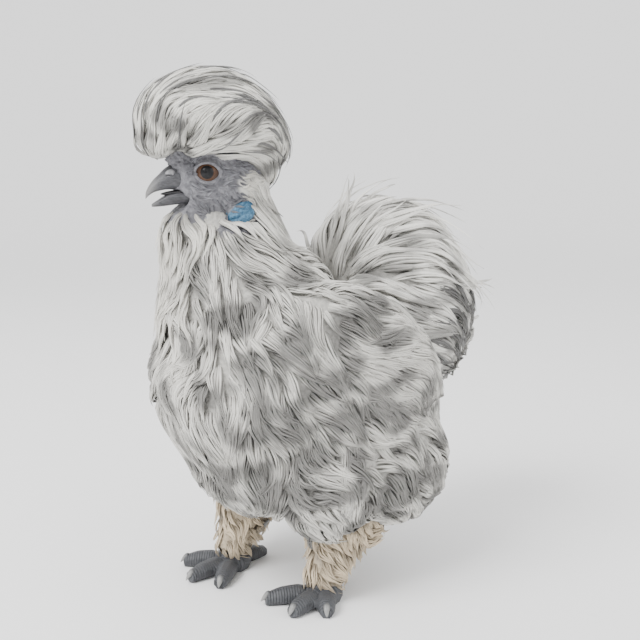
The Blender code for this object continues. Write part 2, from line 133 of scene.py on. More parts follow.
def ripple(points, wavelength, seed):
    """A smooth wandering value of about -1 to 1 over space, the same for neighbours."""
    terms = 7
    source = np.random.default_rng(seed)
    ways = unit(source.normal(size=(terms, 3)))
    axes = ways * (2 * np.pi / (wavelength * source.uniform(0.7, 1.5, (terms, 1))))
    phase = source.uniform(0, 2 * np.pi, terms)
    return np.sin(points @ axes.T + phase).sum(1) / math.sqrt(terms / 2) * 0.8


class Guide:
    """A closed surface that locks grow on and follow."""

    def __init__(self, points, faces):
        self.points, self.faces = points, faces
        self.normals = point_normals(points, faces)
        self.tree = BVHTree.FromPolygons(points.tolist(), faces.tolist())

    def nearest(self, places):
        """The nearest points on the surface, with its smooth normals there."""
        found = [self.tree.find_nearest(place) for place in places.tolist()]
        on = np.array([hit[0][:] for hit in found])
        index = np.array([hit[2] for hit in found])
        corners = self.points[self.faces[index]]
        share = barycentric(on, corners)
        normals = unit((self.normals[self.faces[index]] * share[..., None]).sum(1))
        return on, normals

    def scatter(self, spacing, wanted, seed):
        """Points spread evenly over the part of the surface where wanted(points, normals) holds."""
        source = np.random.default_rng(seed)
        a, b, c = (self.points[self.faces[:, k]] for k in range(3))
        area = np.linalg.norm(np.cross(b - a, c - a), axis=1) / 2
        tries = 5
        count = int(area.sum() / spacing**2 * tries)
        chosen = source.choice(len(area), count, p=area / area.sum())
        u, v = source.random((2, count, 1))
        flip = u + v > 1
        u, v = np.where(flip, 1 - u, u), np.where(flip, 1 - v, v)
        places = a[chosen] + (b - a)[chosen] * u + (c - a)[chosen] * v
        normals = unit((self.normals[self.faces[chosen]]).mean(1))
        places = places[wanted(places, normals)]
        cells, kept = {}, []
        for i, place in enumerate(places):
            key = tuple((place // spacing).astype(int))
            near = [
                cells[key[0] + x, key[1] + y, key[2] + z]
                for x in (-1, 0, 1)
                for y in (-1, 0, 1)
                for z in (-1, 0, 1)
                if (key[0] + x, key[1] + y, key[2] + z) in cells
            ]
            if all(((places[j] - place) ** 2).sum() > spacing**2 for group in near for j in group):
                cells.setdefault(key, []).append(i)
                kept.append(i)
        return places[kept]

    def inside_by(self, places):
        """How far each place lies inside the surface, negative outside."""
        on, normals = self.nearest(places)
        return -((places - on) * normals).sum(1)


def barycentric(on, corners):
    """What share each corner of its triangle has in each point."""
    a, b, c = corners[:, 0], corners[:, 1], corners[:, 2]
    v0, v1, v2 = b - a, c - a, on - a
    d00, d01, d11 = (v0 * v0).sum(1), (v0 * v1).sum(1), (v1 * v1).sum(1)
    d20, d21 = (v2 * v0).sum(1), (v2 * v1).sum(1)
    base = np.maximum(d00 * d11 - d01 * d01, 1e-18)
    v = (d11 * d20 - d01 * d21) / base
    w = (d00 * d21 - d01 * d20) / base
    return np.clip(np.stack([1 - v - w, v, w], 1), 0, 1)


FLESH = ["neck", "breast", "back", "rump", "thigh_left", "thigh_right", "wing_left", "wing_right"]
eye_low, eye_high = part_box("eye_left")
eye_low_right, eye_high_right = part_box("eye_right")
eye_left = (eye_low + eye_high) / 2
eye_right = (eye_low_right + eye_high_right) / 2
EYE_RADIUS = (eye_high - eye_low).z / 2
HEAD_MIDDLE = np.array((eye_left + eye_right) / 2)
head_left = unit(np.array(eye_left - eye_right))
head_back = np.array((-head_left[1], head_left[0], 0.0))
HEAD_AXES = np.stack([head_left, head_back, (0.0, 0.0, 1.0)])
HEAD_TURN = Matrix(HEAD_AXES.T.tolist())


def to_head(points):
    """Row frame to the head's own frame: left, back and up from the middle of the eyes, in millimetres."""
    return (points - HEAD_MIDDLE) @ HEAD_AXES.T * 1000


def from_head(points):
    """The head's own frame, in millimetres, back to the row frame."""
    return np.asarray(points, float) / 1000 @ HEAD_AXES + HEAD_MIDDLE


# Soft fillings over the creases between the solids, each as a place and radii.
SHOULDER_FILLING = [
    ((0.026, -0.042, 0.184), (0.028, 0.030, 0.026)),
    ((0.043, -0.056, 0.176), (0.018, 0.022, 0.020)),
]
CREST_FILLING = [
    ((0, -25.5, 17.0), (0.0165, 0.0135, 0.0138)),
    ((0, 31, 5.0), (0.0140, 0.0120, 0.0130)),
    ((0, 4, 14.0), (0.0205, 0.0250, 0.0110)),
    ((0, -13, 19.5), (0.0150, 0.0140, 0.0095)),
]
coat_form = node_mesh([*FLESH, "head", "beard"])
for sign in (1, -1):
    for (x, y, z), radii in SHOULDER_FILLING:
        add_ball(coat_form, (sign * x, y, z), radii)
coat = Guide(*fused_points(coat_form, voxel=0.0024, smoothing=14))
crest_form = node_mesh(["crest"])
for centre, radii in CREST_FILLING:
    add_ball(crest_form, from_head(centre), radii, HEAD_TURN)
crest_coat = Guide(*fused_points(crest_form, voxel=0.0018, smoothing=6))
tail_coat = Guide(*fused_points(node_mesh(["tail"]), voxel=0.0026, smoothing=8))


def cuff_form(side):
    """The outline of a cuff, drawn in behind the ankle."""
    points, faces = fused_points(node_mesh(["cuff_" + side]), voxel=0.0016, smoothing=6)
    low, high = (np.array(corner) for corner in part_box("cuff_" + side))
    shank_low, shank_high = (np.array(corner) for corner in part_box("shank_" + side))
    axis = (shank_low + shank_high) / 2
    down = 1 - smooth_step(low[2], low[2] + 0.75 * (high[2] - low[2]), points[:, 2])
    behind = np.maximum(points[:, 1] - axis[1], 0)
    drawn_forward, drawn_narrow = 0.42, 0.14
    points[:, 1] -= behind * drawn_forward * down
    points[:, 0] = axis[0] + (points[:, 0] - axis[0]) * (1 - drawn_narrow * down)
    return points, faces


cuff_coats = {side: Guide(*cuff_form(side)) for side in ("left", "right")}

# The skin: one seamless hide from the bare face, comb and ear lobes over the trunk to the shanks and
# toes. It lies under the feathers by the depth of the coat, has its full size where the bird is bare,
# and carries the markings and painted shade of the plumes that grow on it.

BODY_DEPTH = 0.0085
HEAD_DEPTH = 0.0030
LID_THICKNESS = 0.0009
TOES = [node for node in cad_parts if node.startswith("toe_")]


def coat_depth(points):
    """How far the skin lies inside the tips of the coat."""
    head = to_head(points)
    near_head = smooth_step(-42, -26, head[:, 2]) * (1 - smooth_step(38, 52, head[:, 1]))
    return BODY_DEPTH * (1 - near_head) + HEAD_DEPTH * near_head


def skin_form():
    """Trunk and bare parts in one mesh, with flesh at skull, brow, ankles and the tail's root."""
    bm = bmesh.new()
    inner = coat.points - coat.normals * coat_depth(coat.points)[:, None]
    verts = [bm.verts.new(p) for p in inner]
    for face in coat.faces:
        bm.faces.new([verts[i] for i in face])
    bare = node_mesh(
        ["head", "comb", "earlobe_left", "earlobe_right", "shank_left", "shank_right", *TOES], swell=0.0003
    )
    mesh = bpy.data.meshes.new("bare")
    bare.to_mesh(mesh)
    bare.free()
    bm.from_mesh(mesh)
    bpy.data.meshes.remove(mesh)
    skull, brow = from_head([0, 8, 12]), from_head([0, -13, 9])
    add_ball(bm, skull, (0.0135, 0.0200, 0.0130), HEAD_TURN)
    add_ball(bm, brow, (0.0060, 0.0080, 0.0060), HEAD_TURN)
    for centre in (eye_left, eye_right):
        add_ball(bm, centre, (EYE_RADIUS + LID_THICKNESS,) * 3)
    for side in ("left", "right"):
        low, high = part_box("shank_" + side)
        middle = (low + high) / 2
        add_ball(bm, (middle.x, middle.y + 0.004, high.z - 0.004), (0.0080, 0.0085, 0.012))
        add_ball(bm, (middle.x, middle.y + 0.007, high.z + 0.012), (0.0140, 0.0160, 0.020))
    low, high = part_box("tail")
    add_ball(bm, (0, low.y + 0.016, (low.z + high.z) / 2 - 0.018), (0.017, 0.026, 0.017))
    return bm


skin_points, skin_faces = fused_points(skin_form(), voxel=0.00125, smoothing=2)


def triangles_in(bm):
    """The points and the triangles of a bmesh, which is freed."""
    bmesh.ops.triangulate(bm, faces=bm.faces)
    bm.verts.index_update()
    points = np.array([vert.co for vert in bm.verts])
    triangles = np.array([[vert.index for vert in face.verts] for face in bm.faces])
    bm.free()
    return points, triangles


def finer(points, faces, wanted):
    """The mesh with each edge halved wherever wanted(points) holds."""
    mesh = bpy.data.meshes.new("finer")
    mesh.from_pydata(points.tolist(), [], faces.tolist())
    bm = bmesh.new()
    bm.from_mesh(mesh)
    bpy.data.meshes.remove(mesh)
    bm.verts.ensure_lookup_table()
    chosen = wanted(np.array([vert.co for vert in bm.verts]))
    edges = [edge for edge in bm.edges if chosen[edge.verts[0].index] and chosen[edge.verts[1].index]]
    bmesh.ops.subdivide_edges(bm, edges=edges, cuts=1, use_grid_fill=True)
    return triangles_in(bm)


def near_face(points):
    head = to_head(points)
    return (head[:, 1] < 27) & (head[:, 2] > -31) & (head[:, 2] < 18) & (head[:, 1] > -30)


def near_eye(points):
    head = to_head(points)
    return (np.hypot(head[:, 1] + 1.5, head[:, 2]) < 11.5) & (np.abs(head[:, 0]) > 7)


def near_feet(points):
    return points[:, 2] < 0.0135


for wanted in (near_face, near_eye, near_feet):
    skin_points, skin_faces = finer(skin_points, skin_faces, wanted)

# How far the gaze is turned forward from the head's side, and how far the opening of the lids leans.
EYE_YAW = math.radians(23)
LID_LEAN = math.radians(5)


def shape_lids(points):
    """The lids: an almond opening over the eyeball with a thick rim, and folds round it."""
    points = points.copy()
    radius, lid = EYE_RADIUS * 1000, LID_THICKNESS * 1000
    half_width, half_above, half_below = 6.1, 4.25, 4.6
    for centre, sign in ((eye_left, 1), (eye_right, -1)):
        local = (points - np.array(centre)) @ HEAD_AXES.T * 1000
        local[:, 0] *= sign
        far = np.linalg.norm(local, axis=1)
        way = local / far[:, None]
        yaw, lean = EYE_YAW, LID_LEAN
        outward = way[:, 0] * math.cos(yaw) - way[:, 1] * math.sin(yaw)
        along = way[:, 1] * math.cos(yaw) + way[:, 0] * math.sin(yaw)
        across = (along * math.cos(lean) - way[:, 2] * math.sin(lean)) * radius
        rise = (along * math.sin(lean) + way[:, 2] * math.cos(lean)) * radius
        corner = 1 - 0.10 * smooth_step(2.5, 6.0, np.abs(across))
        opening = np.hypot(across / half_width, rise / (np.where(rise > 0, half_above, half_below) * corner))
        edge = smooth_step(0.93, 1.04, opening)
        rim = radius + lid + 0.35 * np.exp(-(((opening - 1.13) / 0.09) ** 2))
        rim = rim - 0.50 * np.exp(-(((opening - 1.36) / 0.07) ** 2))
        outer = smooth_step(1.30, 1.52, opening)
        shaped = rim * (1 - outer) + np.maximum(far, rim) * outer
        shaped = shaped - 0.45 * np.exp(-(((opening - 1.70) / 0.08) ** 2))
        shaped = shaped + 0.25 * np.exp(-(((opening - 1.86) / 0.09) ** 2))
        shaped = (radius - 2.4) * (1 - edge) + shaped * edge
        near = (outward > 0.25) & (opening < 2.2) & (far < radius + 5)
        fade = 1 - smooth_step(1.95, 2.2, opening)
        reach = np.where(near, shaped * fade + far * (1 - fade), far)
        local = way * reach[:, None]
        local[:, 0] *= sign
        moved = local / 1000 @ HEAD_AXES + np.array(centre)
        points = np.where(near[:, None], moved, points)
    return points


skin_points = shape_lids(skin_points)


def lobe_place(head):
    """Where points in the head's frame lie on the slanting ear lobe: along and across, 1 at its edge."""
    back, up = head[:, 1] - 16.3, head[:, 2] + 21.6
    half_length, half_width = 10.2, 5.6
    return (back * 0.80 + up * 0.60) / half_length, (up * 0.80 - back * 0.60) / half_width


def shape_lobes(points):
    """The ear lobes: soft pads with two long folds and small pits."""
    head = to_head(points)
    along, across = lobe_place(head)
    away = np.hypot(along, across)
    pad = (1 - smooth_step(0.75, 1.12, away)) * (np.abs(head[:, 0]) > 7)
    fold = np.exp(-(((across + 0.10 + 0.25 * along) / 0.13) ** 2))
    fold = fold + 0.6 * np.exp(-(((across - 0.55) / 0.10) ** 2))
    pits = np.sin(along * 9 + np.sin(across * 7) * 1.5) * np.sin(across * 8 + along * 4)
    out = pad * (1.5 - 1.3 * fold + 0.28 * pits)
    groove = -0.7 * np.exp(-(((away - 1.14) / 0.07) ** 2)) * (np.abs(head[:, 0]) > 7)
    head[:, 0] += np.sign(head[:, 0]) * (out + groove)
    return from_head(head)


def shape_comb(points):
    """The comb: a low cushion of small round knobs over the root of the bill."""
    head = to_head(points)
    near = np.exp(-((head[:, 0] / 7.0) ** 4)) * smooth_step(-29, -24, head[:, 1])
    near = near * (1 - smooth_step(-13, -8, head[:, 1])) * smooth_step(1.5, 5, head[:, 2])
    knobs = np.sin(head[:, 0] * 1.9 + 0.6) * np.sin(head[:, 1] * 1.7) * np.sin(head[:, 2] * 1.6 + 0.5)
    way = unit(head - np.array((0, -12.0, 4.0)))
    return from_head(head + way * (near * (knobs * 1.1 - 0.4))[:, None])


skin_points = shape_comb(shape_lobes(skin_points))


def mesh_object(name, points, faces):
    """A smooth-shaded object of these points and triangles."""
    mesh = bpy.data.meshes.new(name)
    mesh.vertices.add(len(points))
    mesh.vertices.foreach_set("co", np.asarray(points, np.float32).ravel())
    mesh.loops.add(len(faces) * 3)
    mesh.loops.foreach_set("vertex_index", np.asarray(faces, np.int32).ravel())
    mesh.polygons.add(len(faces))
    mesh.polygons.foreach_set("loop_start", np.arange(0, len(faces) * 3, 3, dtype=np.int32))
    mesh.polygons.foreach_set("loop_total", np.full(len(faces), 3, np.int32))
    mesh.update(calc_edges=True)
    mesh.validate()
    mesh.shade_smooth()
    made = bpy.data.objects.new(name, mesh)
    bpy.context.scene.collection.objects.link(made)
    return made


def set_values(made, name, values):
    """A number at each point, which a material reads by its name."""
    attribute = made.data.attributes.new(name, "FLOAT", "POINT")
    attribute.data.foreach_set("value", np.asarray(values, np.float32).ravel())


def set_vectors(made, name, values):
    """A vector at each point, which a material reads by its name."""
    attribute = made.data.attributes.new(name, "FLOAT_VECTOR", "POINT")
    attribute.data.foreach_set("vector", np.asarray(values, np.float32).ravel())


class Value:
    """One shader value that can be added, multiplied and so on like a number."""

    def __init__(self, look, socket):
        self.look, self.socket = look, socket

    def math(self, operation, *others):
        return self.look.node("ShaderNodeMath", {"operation": operation}, dict(enumerate([self, *others])))

    def __add__(self, other):
        return self.math("ADD", other)

    def __sub__(self, other):
        return self.math("SUBTRACT", other)

    def __mul__(self, other):
        return self.math("MULTIPLY", other)

    __radd__ = __add__
    __rmul__ = __mul__

    def __rsub__(self, other):
        return self.look.node("ShaderNodeMath", {"operation": "SUBTRACT"}, {0: other, 1: self})

    def power(self, other):
        return self.math("POWER", other)

    def ramp(self, low, high):
        """0 below low, 1 above high, and smooth in between. It falls where low is above high."""
        ends = {"From Min": min(low, high), "From Max": max(low, high)}
        ends.update({"To Min": int(low > high), "To Max": int(low <= high)})
        smooth = {"interpolation_type": "SMOOTHSTEP"}
        return self.look.node("ShaderNodeMapRange", smooth, {"Value": self, **ends}, "Result")


class Look:
    """A material whose surface is built up node by node."""

    def __init__(self, name, roughness):
        self.material = bpy.data.materials.new(name)
        self.material.use_nodes = True
        self.tree = self.material.node_tree
        self.surface = self.tree.nodes["Principled BSDF"]
        self.surface.inputs["Roughness"].default_value = roughness
        self.surface.inputs["Specular IOR Level"].default_value = 0.35

    def node(self, kind, settings, inputs, output=0):
        """A node of this kind, with its settings and then its sockets' values or links."""
        made = self.tree.nodes.new(kind)
        for key, item in settings.items():
            setattr(made, key, item)
        for key, item in inputs.items():
            if isinstance(item, Value):
                self.tree.links.new(item.socket, made.inputs[key])
            else:
                made.inputs[key].default_value = item
        return Value(self, made.outputs[output])

    def attribute(self, name, output="Fac"):
        return self.node("ShaderNodeAttribute", {"attribute_name": name}, {}, output)

    def parts(self, vector):
        """A vector's x, y and z."""
        parted = self.node("ShaderNodeSeparateXYZ", {}, {0: vector}).socket.node
        return [Value(self, socket) for socket in parted.outputs]

    def vector(self, x, y, z):
        return self.node("ShaderNodeCombineXYZ", {}, {0: x, 1: y, 2: z})

    def noise(self, vector, scale, detail=2.0, roughness=0.5):
        return self.node(
            "ShaderNodeTexNoise",
            {"noise_dimensions": "3D"},
            {"Vector": vector, "Scale": scale, "Detail": detail, "Roughness": roughness},
        )

    def mix(self, share, first, second):
        """Two colours mixed: each is a tuple of three or a Value."""
        first = (*first, 1) if isinstance(first, tuple) else first
        second = (*second, 1) if isinstance(second, tuple) else second
        return self.node("ShaderNodeMix", {"data_type": "RGBA"}, {0: share, 6: first, 7: second}, 2)

    def scale(self, colour, amount):
        """A colour made brighter or darker by a shader value."""
        grey = self.vector(amount, amount, amount)
        return self.node("ShaderNodeVectorMath", {"operation": "MULTIPLY"}, {0: colour, 1: grey})

    def feed(self, socket, item):
        if isinstance(item, Value):
            self.tree.links.new(item.socket, self.surface.inputs[socket])
        else:
            self.surface.inputs[socket].default_value = item

    def bump(self, height, distance, strength=1.0):
        inputs = {"Strength": strength, "Distance": distance, "Height": height}
        self.feed("Normal", self.node("ShaderNodeBump", {}, inputs))


PLUME_LIGHT = (0.630, 0.615, 0.572)
PLUME_DARK = (0.108, 0.105, 0.101)
FACE_GREY = (0.118, 0.118, 0.130)
FACE_PALE = (0.180, 0.178, 0.192)
LOBE_BLUE = (0.036, 0.112, 0.195)
LOBE_PALE = (0.075, 0.175, 0.27)
TOE_SLATE = (0.040, 0.042, 0.047)
TOE_PALE = (0.085, 0.088, 0.095)
CUFF_CREAM = (0.64, 0.53, 0.385)

# Soft dark patches: the plumage's own markings, and painted shade on the lower rear of the tail and under
# the lower edge of the wings. The place of each on the left side and its radius, in millimetres.
MARK_AND_SHADE_PATCHES = np.array(
    [
        (68, -45, 134, 2.8), (68, -35, 126, 3.4), (71, -11, 112, 3.4), (73, -1, 114, 2.8),
        (74, 18, 120, 3.4), (75, 26, 125, 2.8), (67, -28, 93, 3.4), (53, -54, 90, 3.9),
        (39, -84, 107, 3.4), (26, -98, 114, 3.4), (40, -93, 137, 3.4), (16, -101, 157, 3.4),
        (33, -90, 177, 3.4), (57, -72, 143, 4.5), (47, -83, 151, 3.9), (63, -55, 131, 3.9),
        (42, -66, 189, 5.0), (73, -42, 162, 5.6), (42, -75, 182, 3.9), (63, -67, 158, 6.7),
        (67, -57, 150, 5.0), (65, -64, 166, 4.5), (74, -28, 175, 7.3), (75, -17, 171, 5.0),
        (70, -44, 140, 5.0), (70, -22, 119, 6.7), (68, -25, 110, 4.5), (71, 10, 114, 5.0),
        (77, -14, 157, 3.4), (24, -101, 139, 5.0), (29, -94, 163, 4.5), (39, -83, 171, 3.4),
        (51, -79, 123, 5.6), (50, -78, 115, 4.5), (58, -64, 118, 6.2), (55, -59, 109, 4.5),
        (57, -46, 98, 5.6), (26, -79, 85, 4.5), (39, -64, 77, 6.7), (48, -57, 77, 6.7),
        (1, -103, 119, 4.5), (-27, -99, 150, 5.0), (-10, -84, 84, 4.5), (16, -84, 87, 3.9),
        (67, 2, 64, 7.3), (71, 12, 64, 5.0), (70, -22, 87, 4.5), (67, -14, 61, 5.0),
        (9, -82, 79, 4.5), (62, -36, 103, 4.5), (68, 21, 96, 3.9), (46, -88, 141, 3.4),
        (38, -93, 122, 3.4), (71, 30, 86, 3.4), (69, 7, 81, 3.4), (-1, -97, 103, 3.9),
        (1, -107, 136, 3.4), (23, -95, 184, 3.4), (36, -77, 197, 3.4), (2, -100, 202, 2.8),
        (13, -98, 263, 3.4), (23, -98, 269, 2.8), (21, -106, 277, 2.8), (11, -109, 270, 2.2),
        (32, -58, 266, 3.4), (15, -50, 256, 3.4), (13, -64, 260, 3.4), (10, -76, 259, 2.8),
        (37, -70, 276, 2.2), (-1, -112, 268, 2.8), (37, 35, 214, 5.0), (40, 26, 198, 3.9),
        (55, 68, 182, 3.9), (54, 77, 174, 3.9), (49, 88, 161, 4.5), (53, 69, 148, 4.5),
        (43, 71, 128, 4.5), (46, 30, 177, 3.4), (52, 41, 169, 3.4), (41, 42, 212, 3.4),
        (31, 18, 195, 2.8), (55, 50, 176, 3.4), (52, 70, 146, 6.0), (55, 72, 163, 5.0),
        (56, 60, 179, 4.0), (73, 36, 131, 3.9), (45, -58, 183, 5.6), (44, -63, 175, 4.5),
    ]
)
PATCH_SPREAD = 1.52
# The right side's patches are the left side's, mirrored and shifted a little, in millimetres.
PATCH_SIDES = [(1, (0, 0, 0)), (-1, (0, 5, 4))]


def marks_and_shade(points):
    """How dark the plumage is at each place, from 0 to 1: its markings, painted shade on the tail and under
    the wings, a darker trunk behind the breast and a darker band low on the body. Skin and feathers read the
    same field.
    """
    mm = points * 1000
    wander = np.stack([ripple(points, 0.022, 300 + k) for k in range(3)], 1) * 2.6
    mark = np.zeros(len(points))
    for flip, shift in PATCH_SIDES:
        seen = (mm + wander) * (flip, 1, 1) + shift
        for x, y, z, radius in MARK_AND_SHADE_PATCHES:
            apart = ((seen - (x, y, z)) ** 2 * (1.0, 1.0, 0.75)).sum(1)
            mark = np.maximum(mark, np.exp(-apart / (PATCH_SPREAD * radius) ** 2))
    body = smooth_step(205, 180, mm[:, 2]) * smooth_step(-95, -60, mm[:, 1])
    cloud = smooth_step(-0.3, 1.1, ripple(points, 0.020, 311)) * (0.62 + 0.13 * body)
    low = np.exp(-(((mm[:, 2] - 70) / 16) ** 2)) * smooth_step(-95, -75, mm[:, 1]) * 0.25
    return np.clip(mark * 0.95 + cloud + 0.06 * body + low, 0, 1)


def marking(look):
    """The dark patches, markings and painted shade, with a little broken edge."""
    broken = look.noise(look.attribute("root", "Vector"), 150.0, 2.0, 0.5)
    return (look.attribute("mark") + (broken - 0.5) * 0.5).ramp(0.06, 0.94)


def ear_distance(head):
    """How far points in the head's frame lie from the middle of the ear, 1 at the edge of its tuft."""
    return np.hypot((head[:, 1] - 20.8) / 6.2, (head[:, 2] + 6.8) / 6.6)


def masks(points):
    """Where the skin is bare face, ear lobe or foot, each from 0 to 1."""
    head = to_head(points)
    face = smooth_step(-33, -27, head[:, 2]) * (1 - smooth_step(24, 29, head[:, 1]))
    face = face * (head[:, 1] > -45) * (1 - smooth_step(14, 20, head[:, 2]))
    along, across = lobe_place(head)
    lobe = (1 - smooth_step(0.92, 1.04, np.hypot(along, across))) * (np.abs(head[:, 0]) > 7)
    face = face * smooth_step(0.75, 1.25, ear_distance(head))
    foot = 1 - smooth_step(0.042, 0.050, points[:, 2])
    return face, lobe, foot


def node_points(node):
    return np.array([vert.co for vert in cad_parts[node].data.vertices])


def shank_middle(side):
    low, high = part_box("shank_" + side)
    return np.array((low + high) / 2)


def toe_places(points):
    """For each point, how far along its nearest toe it lies, in millimetres."""
    along = np.zeros(len(points))
    nearest = np.full(len(points), 1e9)
    for node in TOES:
        toe = node_points(node)
        centre = toe.mean(0)
        axis = np.linalg.svd(toe - centre, full_matrices=False)[2][0]
        outward = centre - shank_middle(node.rsplit("_", 1)[1])
        axis = axis * np.sign(axis[:2] @ outward[:2])
        local = points - centre
        reach = local @ axis
        span = (toe - centre) @ axis
        away = np.linalg.norm(local - np.outer(np.clip(reach, span.min(), span.max()), axis), axis=1)
        closer = away < nearest
        nearest = np.where(closer, away, nearest)
        along = np.where(closer, reach * 1000, along)
    return along


def throat_grey_and_shade(points):
    """Where the grey of the face runs on under the first plumes of the throat, from 0 to 1: partly the grey
    skin, partly painted shade under the ear lobes where the neck's plumes part.
    """
    head = to_head(points)
    grey = smooth_step(-38, -32, head[:, 2]) * (head[:, 2] < -20) * smooth_step(-14, -8, head[:, 1])
    return grey * (1 - smooth_step(21, 26, head[:, 1]))


def under_cuffs(points):
    """Where the skin lies under the cuffs, from 0 to 1."""
    near, above_toes = 0.008, (0.018, 0.024)
    found = np.zeros(len(points))
    for guide in cuff_coats.values():
        low, high = guide.points.min(0) - near, guide.points.max(0) + near
        close = np.all((points > low) & (points < high), axis=1)
        reach = 0.0004 + 0.0070 * smooth_step(*above_toes, points[close][:, 2])
        under = smooth_step(-reach, 0.0006, guide.inside_by(points[close]))
        found[close] = np.maximum(found[close], under)
    return found


skin = mesh_object("skin", skin_points, skin_faces)
face_mask, lobe_mask, foot_mask = masks(skin_points)
set_vectors(skin, "root", skin_points)
set_values(skin, "face", np.maximum(face_mask, throat_grey_and_shade(skin_points)))
set_values(skin, "lobe", lobe_mask)
set_values(skin, "foot", foot_mask)
set_values(skin, "scute", toe_places(skin_points))
set_values(skin, "mark", marks_and_shade(skin_points))
set_values(skin, "cuff", under_cuffs(skin_points))


def shaded(colour, amount):
    """A colour of three numbers, each multiplied by the amount."""
    return tuple(part * amount for part in colour)


def skin_look():
    """Down under the plumes, mottled grey on the face, blue on the lobes and slate scutes on the toes."""
    scutes_per_mm = 0.62
    look = Look("skin", 0.62)
    place = look.attribute("root", "Vector")
    # Under the plumes the skin has the plumage's colours a little darker, as painted shade for the gaps
    # between the locks.
    down = look.mix(marking(look), shaded(PLUME_LIGHT, 0.78), shaded(PLUME_DARK, 0.75))
    mottle = look.noise(place, 420.0, 3.0, 0.6)
    face = look.mix(mottle.ramp(0.35, 0.7), FACE_GREY, FACE_PALE)
    face = look.scale(face, mottle * 0.9 + 0.55)
    grain = look.noise(place, 700.0, 2.0, 0.6)
    lobe = look.mix(grain.ramp(0.3, 0.7), LOBE_BLUE, LOBE_PALE)
    lobe = look.scale(lobe, grain * 0.9 + 0.5)
    scute = (look.attribute("scute") * scutes_per_mm).math("FRACT")
    ridge = scute.ramp(0.0, 0.22) * (1 - scute.ramp(0.80, 1.0))
    toe = look.scale(look.mix(mottle, TOE_SLATE, TOE_PALE), ridge * 0.5 + 0.6)
    colour = look.mix(look.attribute("face"), down, face)
    colour = look.mix(look.attribute("lobe"), colour, lobe)
    colour = look.mix(look.attribute("foot"), colour, toe)
    colour = look.mix(look.attribute("cuff"), colour, shaded(CUFF_CREAM, 0.55))
    look.feed("Base Color", colour)
    wrinkle = look.noise(place, 520.0, 3.0, 0.6) * 0.9
    look.bump(wrinkle + ridge * look.attribute("foot"), 0.0005, 0.9)
    look.feed("Roughness", 0.62 - look.attribute("foot") * 0.12)
    return look.material


skin.data.materials.append(skin_look())
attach(skin, "root")
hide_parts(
    *FLESH, "head", "comb", "beard", "crest", "tail", "cuff_left", "cuff_right",
    "earlobe_left", "earlobe_right", "shank_left", "shank_right", *TOES,
)

# The eyes: glass balls with a brown iris round a wide black pupil. Each is a whole ball set in its
# socket behind the lids, bulges a little at the pupil and looks out to its own side.

IRIS_BROWN = (0.085, 0.040, 0.021)
IRIS_RIM = (0.040, 0.021, 0.013)
PUPIL_BLACK = (0.007, 0.007, 0.008)
EYE_DARK = (0.025, 0.020, 0.018)


def eye_look():
    look = Look("eye", 0.12)
    y, z = look.parts(look.attribute("gaze", "Vector"))[1:]
    away = (y * y + z * z).power(0.5)
    angle = y.math("ARCTAN2", z)
    fibres = look.noise(look.vector(angle * 5.0, away * 3.0, 0.0), 2.4, 3.0, 0.6)
    iris = look.mix((away + (fibres - 0.5) * 0.12).ramp(0.42, 0.80), IRIS_BROWN, IRIS_RIM)
    iris = look.scale(iris, fibres * 1.1 + 0.45)
    colour = look.mix(away.ramp(0.46, 0.50), PUPIL_BLACK, iris)
    colour = look.mix(away.ramp(0.80, 0.90), colour, EYE_DARK)
    look.feed("Base Color", colour)
    look.surface.inputs["Specular IOR Level"].default_value = 0.22
    return look.material


eye_material = eye_look()
for side, centre, sign in (("left", eye_left, 1), ("right", eye_right, -1)):
    bm = bmesh.new()
    bmesh.ops.create_uvsphere(bm, u_segments=64, v_segments=40, radius=1)
    local, triangles = triangles_in(bm)
    ahead, back = local[:, 0] * sign, local[:, 1]
    turn_cos, turn_sin = math.cos(EYE_YAW), math.sin(EYE_YAW)
    gaze = np.stack([ahead * turn_cos - back * turn_sin, back * turn_cos + ahead * turn_sin, local[:, 2]], 1)
    over_pupil = (1 - smooth_step(0.25, 0.60, np.hypot(gaze[:, 1], gaze[:, 2]))) * (gaze[:, 0] > 0)
    bulge = 1 + 0.045 * over_pupil
    points = (local * bulge[:, None]) * EYE_RADIUS @ HEAD_AXES + np.array(centre)
    eye = mesh_object("eyeball_" + side, points, triangles)
    set_vectors(eye, "gaze", gaze)
    eye.data.materials.append(eye_material)
    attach(eye, "root")
    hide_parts("eye_" + side)

# The bill: two sheaths of grey horn that grow on the jaws, the upper one hooked over the lower. They
# stand a little open, and their roots are set in the skin of the face.

HORN_GREY = (0.040, 0.040, 0.044)
HORN_PALE = (0.080, 0.080, 0.087)
HORN_TIP = (0.16, 0.158, 0.155)


def loft_rings(rings):
    """Closed triangles through rings of points that all have the same count."""
    rings = np.asarray(rings)
    count, around = rings.shape[:2]
    points = np.concatenate([rings.reshape(-1, 3), rings[:1].mean(1), rings[-1:].mean(1)])
    faces = []
    for i in range(count - 1):
        for k in range(around):
            a, b = i * around + k, i * around + (k + 1) % around
            faces += [(a, b, b + around), (a, b + around, a + around)]
    first, last = len(points) - 2, len(points) - 1
    for k in range(around):
        a, b = k, (k + 1) % around
        faces += [(b, a, first), ((count - 1) * around + a, (count - 1) * around + b, last)]
    return points, np.array(faces)


def curve_through(rows, count):
    """Rows of numbers read off a smooth curve through them, evenly along its length."""
    rows = np.asarray(rows, float)
    padded = np.concatenate([2 * rows[:1] - rows[1:2], rows, 2 * rows[-1:] - rows[-2:-1]])
    share = np.linspace(0, len(rows) - 1, count)
    index = np.minimum(share.astype(int), len(rows) - 2)
    t = (share - index)[:, None]
    a, b, c, d = (padded[index + k] for k in range(4))
    return 0.5 * (2 * b + (c - a) * t + (2 * a - 5 * b + 4 * c - d) * t**2 + (3 * b - a - 3 * c + d) * t**3)


